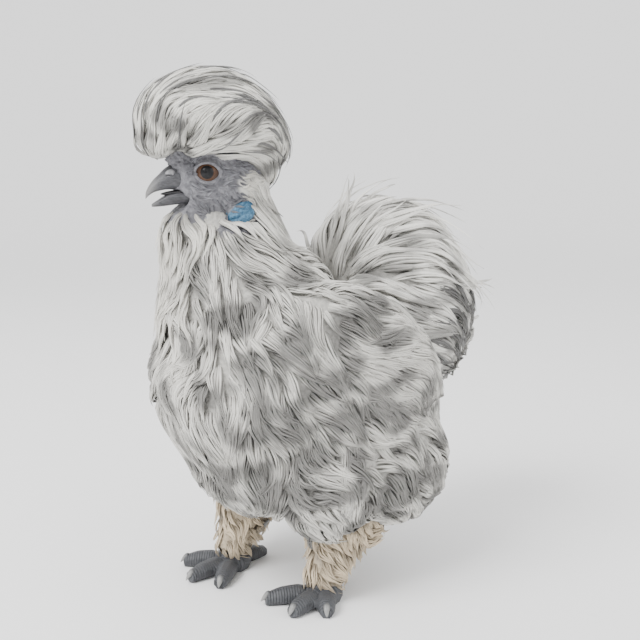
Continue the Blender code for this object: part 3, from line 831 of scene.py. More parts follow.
def bill_half(name, stations, sharp_edge, node):
    """Rings from stations of y, top, bottom, half width and height of the widest place."""
    rings, count, around = [], 34, 40
    for y, top, bottom, half, belly in curve_through(stations, count):
        widest = bottom + (top - bottom) * belly
        angle = np.linspace(0, 2 * np.pi, around, endpoint=False)
        rise = np.sin(angle)
        height = np.where(rise > 0, top - widest, widest - bottom)
        width = np.sign(np.cos(angle)) * np.abs(np.cos(angle)) ** np.where(rise * sharp_edge < 0, 0.55, 1.0)
        rings.append(np.stack([half * width, np.full(around, y), widest + height * rise], 1))
    points, faces = loft_rings(rings)
    made = mesh_object(name, from_head(points), faces)
    set_vectors(made, "root", points)
    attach(made, "root")
    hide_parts(node)
    return made


def horn_look():
    look = Look("horn", 0.42)
    x, y, z = look.parts(look.attribute("root", "Vector"))
    grain = look.noise(look.vector(x * 1.6, y * 0.35, z * 1.6), 1.0, 4.0, 0.6)
    colour = look.mix(grain.ramp(0.3, 0.7), HORN_GREY, HORN_PALE)
    colour = look.mix(y.ramp(-25.0, -33.0), colour, HORN_TIP)
    look.feed("Base Color", colour)
    look.bump(grain, 0.00025, 0.7)
    return look.material


upper_bill = bill_half(
    "bill_upper",
    [
        (-9.0, 3.4, -9.4, 6.9, 0.45),
        (-14.0, 4.9, -9.5, 7.1, 0.40),
        (-18.0, 4.5, -9.1, 6.6, 0.38),
        (-22.0, 2.3, -9.2, 5.8, 0.35),
        (-25.5, -1.1, -9.8, 4.9, 0.33),
        (-28.5, -3.9, -10.7, 3.8, 0.36),
        (-31.0, -7.2, -12.2, 2.6, 0.42),
        (-32.5, -10.2, -13.6, 1.5, 0.48),
        (-32.9, -12.4, -14.3, 0.6, 0.50),
    ],
    1,
    "upper_bill",
)
lower_bill = bill_half(
    "bill_lower",
    [
        (-8.0, -10.4, -16.4, 6.2, 0.75),
        (-13.5, -10.5, -17.0, 6.1, 0.75),
        (-18.5, -10.9, -17.5, 5.4, 0.75),
        (-22.0, -12.2, -18.0, 4.4, 0.75),
        (-25.2, -14.2, -18.3, 3.2, 0.70),
        (-28.2, -16.0, -18.5, 1.9, 0.60),
        (-29.6, -16.9, -18.4, 0.8, 0.50),
    ],
    -1,
    "lower_bill",
)
horn_material = horn_look()
upper_bill.data.materials.append(horn_material)
lower_bill.data.materials.append(horn_material)

# The nostrils: a soft pale flap of skin over a slit on each side, grown on the root of the upper bill
# just in front of the face. The slit is painted near black, as painted shade inside the opening.

NOSTRIL_PALE = (0.24, 0.24, 0.25)
NOSTRIL_SLIT_SHADE = (0.02, 0.02, 0.022)
NOSTRIL_TURN = Matrix.Rotation(math.radians(20), 3, "X")


def nostril(side, sign):
    bm = bmesh.new()
    add_ball(bm, (sign * 5.0, -20.6, -0.4), (1.9, 2.7, 1.9), NOSTRIL_TURN)
    points, triangles = triangles_in(bm)
    slit = np.exp(-(((points[:, 2] + 1.6) / 0.45) ** 2)) * (np.abs(points[:, 1] + 21.4) < 1.9)
    points[:, 0] -= sign * slit * 1.0
    made = mesh_object("nostril_" + side, from_head(points), triangles)
    set_values(made, "slit", slit)
    set_vectors(made, "root", points)
    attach(made, "root")
    return made


def nostril_look():
    look = Look("nostril", 0.5)
    grain = look.noise(look.attribute("root", "Vector"), 1.1, 3.0)
    # The slit is painted near black: painted shade inside the opening.
    colour = look.mix(look.attribute("slit").ramp(0.2, 0.8), NOSTRIL_PALE, NOSTRIL_SLIT_SHADE)
    look.feed("Base Color", look.scale(colour, grain + 0.5))
    look.bump(grain, 0.0002)
    return look.material


nostril_material = nostril_look()
for side, sign in (("left", 1), ("right", -1)):
    nostril(side, sign).data.materials.append(nostril_material)

# The tongue: one flat grey blade of flesh that lies in the lower bill, with its root in the throat.
# It shows between the halves of the bill.

bm = bmesh.new()
add_ball(bm, (0, -15.0, -10.4), (4.9, 9.8, 1.3), Matrix.Rotation(math.radians(7), 3, "X"))
points, triangles = triangles_in(bm)
tongue = mesh_object("tongue_blade", from_head(points), triangles)
look = Look("tongue", 0.45)
look.feed("Base Color", (0.030, 0.029, 0.031, 1))
tongue.data.materials.append(look.material)
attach(tongue, "root")
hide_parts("tongue")

# The claws: short blunt cones of horn, grey at the base and paler at the worn tip. Each is set in the
# end of its toe and keeps just clear of the floor.

CLAW_GREY = (0.075, 0.077, 0.082)
CLAW_PALE = (0.24, 0.24, 0.235)
CLAW_HALF = 0.0023
CLAW_SHARE = 0.62


def claw_look():
    look = Look("claw", 0.38)
    grain = look.noise(look.attribute("root", "Vector"), 900.0, 3.0)
    colour = look.mix(look.attribute("along").ramp(0.0, 0.75), CLAW_GREY, CLAW_PALE)
    look.feed("Base Color", look.scale(colour, grain * 0.5 + 0.75))
    look.bump(grain, 0.00015)
    return look.material


def claw_rings(node, ahead, steps, around):
    """Rings from the base of a claw towards its tip, flattened where they would pass the floor."""
    claw = node_points(node)
    reach = claw @ ahead
    span = reach.max() - reach.min()
    base = claw[reach < reach.min() + span * 0.15].mean(0)
    tip = claw[reach > reach.max() - span * 0.06].mean(0)
    across = unit(np.cross(ahead, (0, 0, 1)))
    angle = np.linspace(0, 2 * np.pi, around, endpoint=False)
    rings = []
    for share in steps:
        middle = base + (tip - base) * share * CLAW_SHARE
        middle[2] += (base[2] - tip[2]) * (share - share**2) * 0.95
        size = CLAW_HALF * (1 - share**1.7) ** 0.8 + 0.0003
        ring = middle + np.outer(np.cos(angle) * size * 0.85, across)
        ring[:, 2] += np.sin(angle) * size
        ring[:, 2] = np.maximum(ring[:, 2], 0.0001)
        rings.append(ring)
    return rings


claw_material = claw_look()
claw_steps, claw_around = np.linspace(0, 1, 14), 18
for node in sorted(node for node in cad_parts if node.startswith("claw_")):
    digit, side = node.split("_")[1:]
    low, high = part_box(f"toe_{digit}_{side}")
    ahead = np.array((low + high) / 2) - shank_middle(side)
    ahead[2] = 0
    points, triangles = loft_rings(claw_rings(node, unit(ahead), claw_steps, claw_around))
    claw = mesh_object("nail_" + digit + "_" + side, points, triangles)
    set_vectors(claw, "root", points)
    set_values(claw, "along", np.concatenate([np.repeat(claw_steps, claw_around), [0, 1]]))
    claw.data.materials.append(claw_material)
    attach(claw, "root")
    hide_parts(node)

# The plumage: a silkie's feathers have no hooked barbs, so they hang in soft locks and form no vanes.
# Each lock is a bundle of thin closed strands that share one root on the skin, lie along the outline
# of the coat and draw together towards their tips.


def flow_of(anchors, reach):
    """A field of directions through (place, direction) pairs in millimetres, the same on both sides."""
    places, ways = [], []
    for place, way in anchors:
        for sign in (1, -1):
            places.append((place[0] * sign, place[1], place[2]))
            ways.append((way[0] * sign, way[1], way[2]))
    places, ways = np.array(places) / 1000, unit(np.array(ways, float))

    def flow(points):
        apart = ((points[:, None] - places[None]) ** 2).sum(-1)
        weight = np.exp(-(apart - apart.min(1, keepdims=True)) / (2 * (reach / 1000) ** 2))
        return unit(weight @ ways)

    return flow


# Across a strand: its two lower edges and its ridge. A strand is a little wider than it is high.
STRAND = np.array([(-1, -0.25), (0, 1), (1, -0.25)])
STRAND_HEIGHT = 0.75


def strand_faces(steps, around, each):
    """The triangles of one closed strand: its sides, its root and its tip."""
    i, k = np.meshgrid(np.arange(steps - 1), np.arange(around), indexing="ij")
    a = (i * around + k).ravel()
    b = (i * around + (k + 1) % around).ravel()
    sides = [np.stack([a, b + around, b], 1), np.stack([a, a + around, b + around], 1)]
    k = np.arange(around)
    base = (steps - 1) * around
    root = np.stack([k, (k + 1) % around, np.full(around, each - 2)], 1)
    tip = np.stack([base + (k + 1) % around, base + k, np.full(around, each - 1)], 1)
    return np.concatenate([*sides, root, tip])


class Coat:
    """Gathers strands and makes one mesh piece of them."""

    def __init__(self, name, slot):
        self.name, self.slot = name, slot
        self.points, self.faces, self.lies, self.roots, self.marks = [], [], [], [], []
        self.covered = []
        self.count = 0

    def add(self, paths, normals, widths, roots, seeds):
        """Strands along paths of shape (strands, steps, 3), with half widths of (strands, steps)."""
        strands, steps = paths.shape[:2]
        around = len(STRAND)
        heights = widths * STRAND_HEIGHT
        tangent = unit(np.gradient(paths, axis=1))
        across = unit(np.cross(tangent, normals))
        up = np.cross(across, tangent)
        ring = (
            paths[:, :, None]
            + across[:, :, None] * (STRAND[:, 0] * widths[..., None])[..., None]
            + up[:, :, None] * (STRAND[:, 1] * heights[..., None])[..., None]
        )
        lie = np.empty((strands, steps, around, 3))
        lie[..., 0] = STRAND[:, 0]
        lie[..., 1] = np.linspace(0, 1, steps)[None, :, None]
        lie[..., 2] = seeds[:, None, None]
        ends = np.stack([paths[:, 0], paths[:, -1] + tangent[:, -1] * widths[:, -1:] * 1.5], 1)
        end_lie = np.zeros((strands, 2, 3))
        end_lie[:, 1, 1] = 1
        end_lie[..., 2] = seeds[:, None]
        points = np.concatenate([ring.reshape(strands, -1, 3), ends], 1)
        lies = np.concatenate([lie.reshape(strands, -1, 3), end_lie], 1)
        each = points.shape[1]
        offset = (np.arange(strands) * each + self.count)[:, None, None]
        self.faces.append((strand_faces(steps, around, each)[None] + offset).reshape(-1, 3))
        self.points.append(points.reshape(-1, 3))
        self.lies.append(lies.reshape(-1, 3))
        self.roots.append(np.repeat(roots, each, axis=0))
        marks = marks_and_shade(paths.reshape(-1, 3)).reshape(strands, steps)
        stray_dark = smooth_step(0.70, 1.0, np.modf(seeds * 7.31)[0])[:, None]
        marks = marks + 0.40 * stray_dark * (marks < 0.5)
        marks = np.concatenate([np.repeat(marks, around, axis=1), marks[:, :1], marks[:, -1:]], 1)
        self.marks.append(marks.ravel())
        self.covered.append(paths[:, steps // 3 :].reshape(-1, 3))
        self.count += strands * each

    def finish(self, material):
        patch_half = 0.0015
        faces, roots = np.concatenate(self.faces), np.concatenate(self.roots)
        lies = np.concatenate(self.lies)
        made = mesh_object(self.name, np.concatenate(self.points), faces)
        set_vectors(made, "lie", lies)
        set_vectors(made, "root", roots)
        set_values(made, "mark", np.concatenate(self.marks))
        patch = skin_unwrap(roots) + patch_half * np.stack([lies[:, 0], lies[:, 1] * 2 - 1], 1)
        set_unwrap(made, patch[faces.ravel()])
        made.data.materials.append(material)
        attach(made, "root")


def set_unwrap(made, corners):
    """The UV map named OFBake, from a place for each corner of each triangle."""
    made.data.uv_layers.new(name="OFBake").data.foreach_set("uv", corners.astype(np.float32).ravel())


def unwrap_skin():
    """An unwrap of the skin's own shape, made on a lighter copy of it."""
    light = bpy.data.objects.new("unwrap", skin.data.copy())
    bpy.context.scene.collection.objects.link(light)
    fewer = light.modifiers.new("fewer", "DECIMATE")
    fewer.ratio = 0.06
    mesh = bpy.data.meshes.new_from_object(light.evaluated_get(bpy.context.evaluated_depsgraph_get()))
    bpy.data.objects.remove(light)
    light = bpy.data.objects.new("unwrap", mesh)
    bpy.context.scene.collection.objects.link(light)
    bpy.context.view_layer.objects.active = light
    for item in bpy.context.selected_objects:
        item.select_set(False)
    light.select_set(True)
    bpy.ops.object.mode_set(mode="EDIT")
    bpy.ops.mesh.select_all(action="SELECT")
    bpy.ops.uv.smart_project(angle_limit=math.radians(66), island_margin=0.002)
    bpy.ops.object.mode_set(mode="OBJECT")
    mesh.calc_loop_triangles()
    points = np.array([vert.co for vert in mesh.vertices])
    faces = np.array([triangle.vertices[:] for triangle in mesh.loop_triangles])
    loops = np.array([triangle.loops[:] for triangle in mesh.loop_triangles])
    places = np.array([item.uv for item in mesh.uv_layers.active.data])[loops]
    bpy.data.objects.remove(light)
    return BVHTree.FromPolygons(points.tolist(), faces.tolist()), points[faces], places


unwrap_tree, unwrap_corners, unwrap_places = unwrap_skin()


def skin_unwrap(roots):
    """Where each root lies on the unwrap of the skin."""
    places, back = np.unique(roots, axis=0, return_inverse=True)
    found = [unwrap_tree.find_nearest(place) for place in places.tolist()]
    on = np.array([hit[0][:] for hit in found])
    index = np.array([hit[2] for hit in found])
    share = barycentric(on, unwrap_corners[index])
    return (unwrap_places[index] * share[..., None]).sum(1)[back.ravel()]


def trace(guide, roots, flow, lengths, steps, sway, wave, curl, seed, free, hang=0.0):
    """Paths that follow the flow over the surface from each root, swaying from side to side.

    Their ends leave the surface by the share free. Under the bird they run straight on, off the
    surface, by the share hang."""
    place, normal = guide.nearest(roots)
    paths, normals = [place], [normal]
    last = None
    for step in range(1, steps):
        share = step / (steps - 1)
        under = hang * (smooth_step(-0.05, -0.50, normal[:, 2]) * smooth_step(0.15, 0.5, share))[:, None]
        way = flow(place)
        way = unit(way - normal * (way * normal).sum(1, keepdims=True))
        side = np.cross(normal, way)
        angle = sway * ripple(place, wave, seed) + curl * share**2
        way = way * np.cos(angle)[:, None] + side * np.sin(angle)[:, None]
        way = way if last is None else unit(way * (1 - under) + last * under)
        last = way
        ahead = place + way * (lengths / (steps - 1))[:, None]
        on, normal = guide.nearest(ahead)
        loose = np.maximum(free * smooth_step(0.4, 1.0, share), 0.9 * under)
        place = on * (1 - loose) + ahead * loose
        paths.append(place)
        normals.append(normal)
    return np.stack(paths, 1), np.stack(normals, 1)


def strands_of(paths, normals, count, spread, gather, source):
    """Each lock's strands: side by side at the root and drawn together towards one point at the tip."""
    locks, steps = paths.shape[:2]
    across = unit(np.cross(unit(np.gradient(paths, axis=1)), normals))
    place = (np.arange(count) + 0.5) / count * 2 - 1 + source.normal(0, 0.10, (locks, count))
    reach = 1 - 0.30 * np.abs(place) * source.random((locks, count))
    at = np.linspace(0, 1, steps) * reach[..., None]
    low = np.minimum((at * (steps - 1)).astype(int), steps - 2)
    part = (at * (steps - 1) - low)[..., None]
    row = np.arange(locks)[:, None, None]

    def read(values):
        return values[row, low] * (1 - part) + values[row, low + 1] * part

    together = (0.60 + 0.40 * smooth_step(0, 0.30, at)) * (1 - gather * smooth_step(0.30, 1.0, at))
    beat = 0.10 * np.sin(2 * np.pi * (at * 1.6 + source.random((locks, count, 1))))
    offset = (place[..., None] + beat) * spread[:, None, None] * together
    dome = 0.30 * (1 - place**2) - 0.14 * source.random((locks, count))
    dome = dome[..., None] * spread[:, None, None]
    made = read(paths) + read(across) * offset[..., None] + read(normals) * (dome * together)[..., None]
    return made.reshape(locks * count, steps, 3), read(normals).reshape(locks * count, steps, 3)


skin_guide = Guide(skin_points, skin_faces)


def grow(
    piece, guide, roots, flow, length, width, *, spread, sway, curl, lift, seed,
    steps=8, strands=6, gather=0.86, wave=34, free=0.25, hang=0.0, depth=None, wander=45, sink=0.0016,
):
    """Locks of about this length from the roots, each of some strands of this half width.

    Length, width, spread, wave, lift and wander are in millimetres, depth and sink in metres."""
    count = len(roots)
    source = np.random.default_rng(seed)
    lengths = length / 1000 * source.uniform(0.78, 1.22, count)
    sways = sway * source.uniform(0.85, 1.15, count) * 1.35
    curls = curl * np.clip(ripple(roots, wander / 1000, seed) * 1.4, -1, 1) + source.normal(0, 0.12, count)
    paths, normals = trace(
        guide, roots, flow, lengths, steps, sways, wave / 1000, curls, seed + 7, free, hang
    )
    share = np.linspace(0, 1, steps)[None]
    layer = source.uniform(0.0, 1.0, (count, 1))
    deep = coat_depth(roots)[:, None] - 0.0010 if depth is None else depth
    height = -deep * (1 - smooth_step(0.0, 0.42, share)) - sink * (layer + 0.35)
    height = height + lift / 1000 * share**2 * source.uniform(0.3, 1.7, (count, 1))
    paths = paths + normals * height[..., None]
    seeds = source.random(count)
    spreads = spread / 1000 * source.uniform(0.75, 1.25, count)
    paths, normals = strands_of(paths, normals, strands, spreads, gather, source)
    on_skin = np.repeat(skin_guide.nearest(roots)[0], strands, axis=0)
    seeds = np.repeat(seeds, strands) + np.tile(np.arange(strands), count) * 0.0131
    widths = width / 1000 * source.uniform(0.75, 1.25, (len(paths), 1))
    taper = (0.55 + 0.45 * smooth_step(0, 0.3, share)) * np.maximum(1 - share**2.6, 0) ** 0.75 + 0.03
    piece.add(paths, normals, widths * taper, on_skin, seeds)


def grow_piece(name, slot, material, guide, roots, flow, length, width, **ways):
    """One piece of the coat, with all its locks."""
    piece = Coat(name, slot)
    grow(piece, guide, roots, flow, length, width, **ways)
    piece.finish(material)
    return piece


def coat_look(name, light, dark, strength=1.0, root_tone_and_shade=0.76, mottle=0.0):
    """Soft plumage: its light and dark colour, streaks along each strand, and darker near its root for the
    lock's darker base and as painted shade between the locks.
    """
    look = Look(name, 0.62)
    across, along, seed = look.parts(look.attribute("lie", "Vector"))
    mark = marking(look) * strength
    tint = look.node("ShaderNodeTexWhiteNoise", {"noise_dimensions": "1D"}, {"W": seed * 91.7})
    colour = look.mix(mark * 0.82, light, dark)
    broad = look.noise(look.vector(across * 2.2 + seed * 57.0, along * 1.1, seed * 83.0), 1.6, 3.0, 0.6)
    fine = look.noise(look.vector(across * 5.0 + seed * 31.0, along * 1.6, seed * 47.0), 1.6, 2.0, 0.6)
    amount = (broad * 0.75 + fine * 0.75 + 0.25) * (tint * 0.30 + 0.85)
    # Darker towards each strand's root: partly the lock's darker base, partly painted shade between the
    # locks.
    amount = amount * (along.ramp(0.0, 0.55) * (1 - root_tone_and_shade) + root_tone_and_shade)
    if mottle:
        spots = look.noise(look.attribute("root", "Vector"), 330.0, 2.0, 0.55)
        amount = amount * (spots * mottle * 2 + 1 - mottle)
    look.feed("Base Color", look.scale(colour, amount))
    look.bump(broad * 0.5 + fine, 0.0004, 0.6)
    look.surface.inputs["Specular IOR Level"].default_value = 0.25
    return look.material

# The down of the body: short fluff close to the skin that fills the coat under its long plumes. On the
# bare face it lies well inside the skin, drawn in towards the middle of the head.


def down_look(name, light):
    look = Look(name, 0.85)
    grain = look.noise(look.attribute("root", "Vector"), 500.0, 3.0)
    # The down is darker than the plumes over it, as painted shade for the gaps between the locks.
    colour = look.mix(marking(look) * 0.6, shaded(light, 0.64), shaded(PLUME_DARK, 0.8))
    look.feed("Base Color", look.scale(colour, grain + 0.5))
    look.bump(grain, 0.0008)
    return look.material


def down_core(name, guide, inward, material, drawn_in=0.0, centre=(0, 0, 0)):
    """The short down that fills the coat under its long plumes."""
    points = guide.points - guide.normals * inward
    points = points + (np.array(centre) - points) * drawn_in
    made = mesh_object(name, points, guide.faces)
    set_vectors(made, "root", points)
    set_values(made, "mark", marks_and_shade(points))
    set_unwrap(made, skin_unwrap(points)[guide.faces.ravel()])
    made.data.materials.append(material)
    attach(made, "root")


down_material = down_look("down", PLUME_LIGHT)
head = to_head(coat.points)
over_face = smooth_step(-40, -34, head[:, 2] + 0.28 * np.clip(head[:, 1] + 8, 0, 20))
over_face = over_face * (1 - smooth_step(21, 27, head[:, 1]))
face_middle = from_head([0, 6, -8])
down_core("down_body", coat, 0.0040, down_material, 0.80 * over_face[:, None], face_middle)

# The plumes of neck, breast, wings, thighs, rear and back: soft locks rooted in the skin of each part.
# They are long and smooth on the back and shorter low down, and under the belly they hang.

# Their lie: down the neck and breast, back over the wings and the saddle, and down again behind.
# Each pair is a place on the left side and the way that the plumes point there.
BODY_FLOW = flow_of(
    [
        ((0, -104, 205), (0, -0.10, -1)),
        ((30, -72, 215), (0.10, 0.20, -1)),
        ((25, -35, 215), (0.05, 0.22, -1)),
        ((0, -25, 215), (0, 0.60, -1)),
        ((0, -110, 165), (0, 0.05, -1)),
        ((0, -100, 115), (0, 0.35, -1)),
        ((45, -85, 160), (0.05, 0.25, -1)),
        ((60, -65, 130), (0, 0.40, -1)),
        ((50, -45, 195), (0.20, 0.80, -0.60)),
        ((45, -58, 190), (0.22, 0.65, -0.75)),
        ((40, -72, 195), (0.15, 0.42, -0.95)),
        ((57, -63, 187), (0.25, 0.60, -0.80)),
        ((64, -62, 179), (0.25, 0.60, -0.85)),
        ((69, -45, 184), (0.10, 0.85, -0.65)),
        ((70, -54, 168), (0.10, 0.55, -0.85)),
        ((76, -35, 150), (0, 0.8, -0.7)),
        ((80, -5, 145), (0, 0.9, -0.50)),
        ((74, 30, 135), (0, 0.6, -0.8)),
        ((60, -5, 175), (0.1, 1, -0.35)),
        ((20, -10, 188), (0.1, 1, -0.1)),
        ((20, 30, 182), (0.1, 1, 0.05)),
        ((50, 40, 165), (0.1, 1, -0.4)),
        ((70, -10, 105), (0, 0.5, -0.85)),
        ((62, 45, 105), (0, 0.7, -0.75)),
        ((20, 85, 120), (0, 0.35, -1)),
        ((52, 70, 110), (0, 0.6, -0.8)),
        ((60, -20, 80), (0, 0.35, -0.95)),
        ((45, 60, 55), (0, 1, -0.35)),
        ((15, 0, 72), (0, 1, -0.2)),
        ((15, -80, 85), (0, 0.8, -0.6)),
        ((40, -5, 45), (0, 0.5, -0.8)),
    ],
    reach=26,
)


def bare_or_hidden(places):
    """Where no body locks grow: the face, and what lies well inside the crest or the tail."""
    head = to_head(places)
    on_head = (head[:, 2] > -24 - 0.28 * np.clip(head[:, 1] + 8, 0, 20)) & (head[:, 1] < 23)
    return on_head | (crest_coat.inside_by(places) > 0.004) | (tail_coat.inside_by(places) > 0.006)


# A quick build has fewer locks, further apart by this factor.
density = 1.0


def body_roots(spacing, chosen, seed):
    """Roots on the body where chosen(places in millimetres) holds, this many millimetres apart."""
    spacing = spacing * density / 1000
    return coat.scatter(spacing, lambda p, n: chosen(p * 1000) & ~bare_or_hidden(p), seed)


# Where the plumage of each part of the body grows.


def in_neck(p):
    return p[:, 2] > 178 - 0.12 * (p[:, 1] + 60)


def in_wing(p):
    return (np.abs(p[:, 0]) > 45) & (p[:, 2] > 112 - 0.5 * (p[:, 1] - 10)) & (p[:, 1] > -48) & ~in_neck(p)


def in_back(p):
    return (p[:, 2] > 150) & (p[:, 1] > -40) & ~in_neck(p) & ~in_wing(p)


def in_breast(p):
    return (p[:, 1] < -35) & ~in_neck(p) & ~in_wing(p) & ~in_back(p)


def in_rear(p):
    return ~in_neck(p) & ~in_wing(p) & ~in_back(p) & ~in_breast(p) & (p[:, 2] > 38)


plume_material = coat_look("plumage", PLUME_LIGHT, PLUME_DARK)
body_pieces = []


def grow_body(name, roots, length, width, material=plume_material, **ways):
    """A piece of the body's plumage. The filling locks look where these already cover the skin."""
    piece = grow_piece(name, "plumage", material, coat, roots, BODY_FLOW, length, width, **ways)
    body_pieces.append(piece)


grow_body(
    "coat_neck", body_roots(4.8, in_neck, 21), 33, 0.66, spread=3.0, gather=0.62, sway=0.30, curl=0.40,
    lift=0.8, wave=26, seed=31,
)
roots = body_roots(5.2, in_breast, 22)
length = 38 - 16 * smooth_step(0.100, 0.070, roots[:, 2])
grow_body(
    "coat_breast", roots, length, 0.86, spread=3.6, gather=0.66, sway=0.42, curl=0.7, lift=1.3, hang=0.8,
    seed=32,
)
for side, sign in (("left", 1), ("right", -1)):
    roots = body_roots(4.0, lambda p: in_wing(p) & (p[:, 0] * sign > 0), 23)
    grow_body(
        "coat_wing_" + side, roots, 40, 0.80, spread=3.3, gather=0.62, sway=0.30, curl=0.45, lift=0.8,
        wave=36, seed=33,
    )
    roots = body_roots(5.5, lambda p: in_rear(p) & (p[:, 0] * sign > 0), 25)
    length = 38 - 20 * smooth_step(0.100, 0.060, roots[:, 2])
    grow_body(
        "coat_rear_" + side, roots, length, 0.90, spread=3.8, gather=0.64, sway=0.38, curl=0.55, lift=1.0,
        hang=0.35, seed=35,
    )
grow_body(
    "coat_back", body_roots(4.2, in_back, 24), 44, 0.80, spread=3.3, gather=0.62, sway=0.22, curl=0.30,
    lift=0.8, wave=45, seed=34,
)

# The mane: long smooth plumes that hang from the nape over the sides and back of the neck. They grow
# behind the ears, under the end of the crest.


def on_nape(p, n):
    head = to_head(p)
    return (head[:, 1] > 18) & (head[:, 2] > -24) & (crest_coat.inside_by(p) < 0.003)


grow_body(
    "coat_mane", coat.scatter(0.0044 * density, on_nape, 27), 50, 0.70, strands=9, spread=3.8, sway=0.16,
    curl=0.25, lift=2.0, sink=0.0, wave=40, seed=37,
)

# The beard: fine cream-white feathers in narrow locks. They grow along the jaw and hang from under the
# bill, and only a few of them are dark.

fine_material = coat_look("beard_plumage", (0.66, 0.64, 0.585), PLUME_DARK, 0.55)
beard_low, beard_high = (np.array(corner) * 1000 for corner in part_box("beard"))


def below_jaw(p, n):
    head, mm = to_head(p), p * 1000
    inside = np.all((mm > beard_low - 2) & (mm < beard_high + 2), axis=1) & (mm[:, 1] < -78)
    return inside & (n[:, 2] > -0.45) & (head[:, 2] < -18 - 0.35 * np.maximum(head[:, 1] + 15, 0))


grow_body(
    "coat_beard", coat.scatter(0.0036 * density, below_jaw, 26), 27, 0.55, fine_material, spread=1.9,
    sway=0.30, curl=0.35, lift=2.2, wave=18, depth=0.003, wander=25, sink=0.0003, hang=0.8, seed=36,
)

# Filling locks: short plumes of the same kind wherever the coat still shows the skin. Each is rooted a
# little uphill, so that it lies over its bare place.


def bare_places(pieces, spacing, gap, seed):
    """Places on the body's outline with no lock nearer than the gap."""
    covered = np.concatenate([part for piece in pieces for part in piece.covered])
    tree = KDTree(len(covered))
    for index, place in enumerate(covered.tolist()):
        tree.insert(place, index)
    tree.balance()
    places = coat.scatter(spacing, lambda p, n: ~bare_or_hidden(p) & (p[:, 2] > 0.045), seed)
    bare = np.array([tree.find(place)[2] > gap for place in places.tolist()])
    return places[bare]


def up_flow(points):
    return -BODY_FLOW(points)


coat_fill = Coat("coat_fill", "plumage")
for seed in (81, 82):
    bare = bare_places([*body_pieces, coat_fill], 0.0030 * density, 0.0046, seed)
    if len(bare) == 0:
        continue
    straight = np.zeros(len(bare))
    uphill = np.full(len(bare), 0.013)
    paths = trace(coat, bare, up_flow, uphill, 5, straight, 0.03, straight, 1, 0)[0]
    roots = paths[:, -1]
    grow(coat_fill, coat, roots, BODY_FLOW, 28, 0.85, spread=2.6, sway=0.2, curl=0.2, lift=0.6, seed=seed)
coat_fill.finish(plume_material)

# The face: short bristly grey feathers that lie back from the bill over the cheeks. They grow on the
# bare skin itself, round the eye and above the ear lobe.


def face_flow(points):
    head = to_head(points)
    fall = -0.35 - 0.25 * smooth_step(-2, -22, head[:, 2])
    way = np.stack([np.zeros(len(head)), np.full(len(head), 1.0), fall], 1)
    way[:, 2] -= 0.45 * smooth_step(-6.0, -18.0, head[:, 2])
    way[:, 2] += 0.35 * smooth_step(4, 12, head[:, 2])
    return unit(way @ HEAD_AXES)


def on_cheek(p, n):
    head = to_head(p)
    eye_gap = np.hypot((head[:, 1] + 1.6) / 8.8, head[:, 2] / 7.4) > 1
    side = np.abs(head[:, 0]) > 4.5
    jaw = (head[:, 1] > -14) | (head[:, 2] < -17)
    comb = (np.abs(head[:, 0]) < 8) & (head[:, 1] < -12)
    face, lobe = masks(p)[:2]
    return (face > 0.5) & (lobe < 0.05) & eye_gap & side & jaw & (head[:, 2] < 12) & ~comb


face_material = coat_look("face_plumage", (0.235, 0.235, 0.255), (0.09, 0.09, 0.10), 0.7, 0.30, 0.95)
grow_piece(
    "coat_face", "face", face_material, skin_guide, skin_guide.scatter(0.0022 * density, on_cheek, 71),
    face_flow, 6.6, 0.26, steps=6, strands=4, spread=0.75, sway=0.45, wave=11, curl=0.4, lift=1.3,
    depth=0.0004, free=0.4, wander=12, sink=0, seed=72,
)

# The ear tufts: small soft white feathers that cover each ear, above the lobe. They grow on the bare
# skin like those of the cheek, and stand off it further.


def on_ear(p, n):
    head = to_head(p)
    edge = 1 + 0.18 * ripple(p, 0.007, 75)
    return (ear_distance(head) < edge) & (np.abs(head[:, 0]) > 5) & (masks(p)[1] < 0.05)


grow_piece(
    "coat_ear", "plumage", fine_material, skin_guide, skin_guide.scatter(0.0020 * density, on_ear, 73),
    face_flow, 8.0, 0.34, steps=7, strands=5, spread=1.1, sway=0.5, wave=12, curl=0.8, lift=2.4,
    depth=0.0004, free=0.6, wander=8, sink=0, seed=74,
)

# The crest: broad soft plumes that rise from the brow, arch over the skull and fall down the nape. They
# stand on a core of down, and thin dark wisps lift off its edge.

BROW = from_head([0, -16, 8])
NAPE = from_head([0, 37, -14])


def between(points, start, end):
    """The ways from the start and to the end of a flow at each point, and their lengths."""
    away, home = points - start, end - points
    near, far = (np.linalg.norm(way, axis=1, keepdims=True) for way in (away, home))
    return away, home, near, far


def crest_flow(points):
    """From the brow up over the crest and down to the nape."""
    away, home, near, far = between(points, BROW, NAPE)
    head = to_head(points)
    way = unit(away / near**2 + home / far**2)
    rise = (1 - smooth_step(16, 40, head[:, 2])) * (1 - smooth_step(8, 34, head[:, 1]))
    way[:, 2] += 1.2 * rise
    return unit(way)


down_core("down_crest", crest_coat, 0.0038, down_material)
crest_material = coat_look("crest_plumage", (0.665, 0.652, 0.605), PLUME_DARK, 1.08)
roots = crest_coat.scatter(0.0049 * density, lambda p, n: to_head(p)[:, 1] < 40, 41)
grow_piece(
    "coat_crest", "plumage", crest_material, crest_coat, roots, crest_flow, 40, 0.76, steps=10, strands=8,
    spread=3.4, sway=0.16, wave=40, curl=0.32, depth=0.0035, free=0.28, wander=35, lift=1.6, seed=51,
)
dark_material = coat_look("dark_plumage", (0.19, 0.188, 0.184), PLUME_DARK)
roots = crest_coat.scatter(0.0100 * density, lambda p, n: to_head(p)[:, 2] > 6, 44)
grow_piece(
    "coat_crest_wisps", "plumage_shade", dark_material, crest_coat, roots, crest_flow, 42, 0.48, steps=12,
    strands=2, spread=0.8, sway=0.14, wave=50, curl=0.3, depth=0.002, free=0.35, wander=30, lift=2.6,
    sink=-0.0004, seed=54,
)

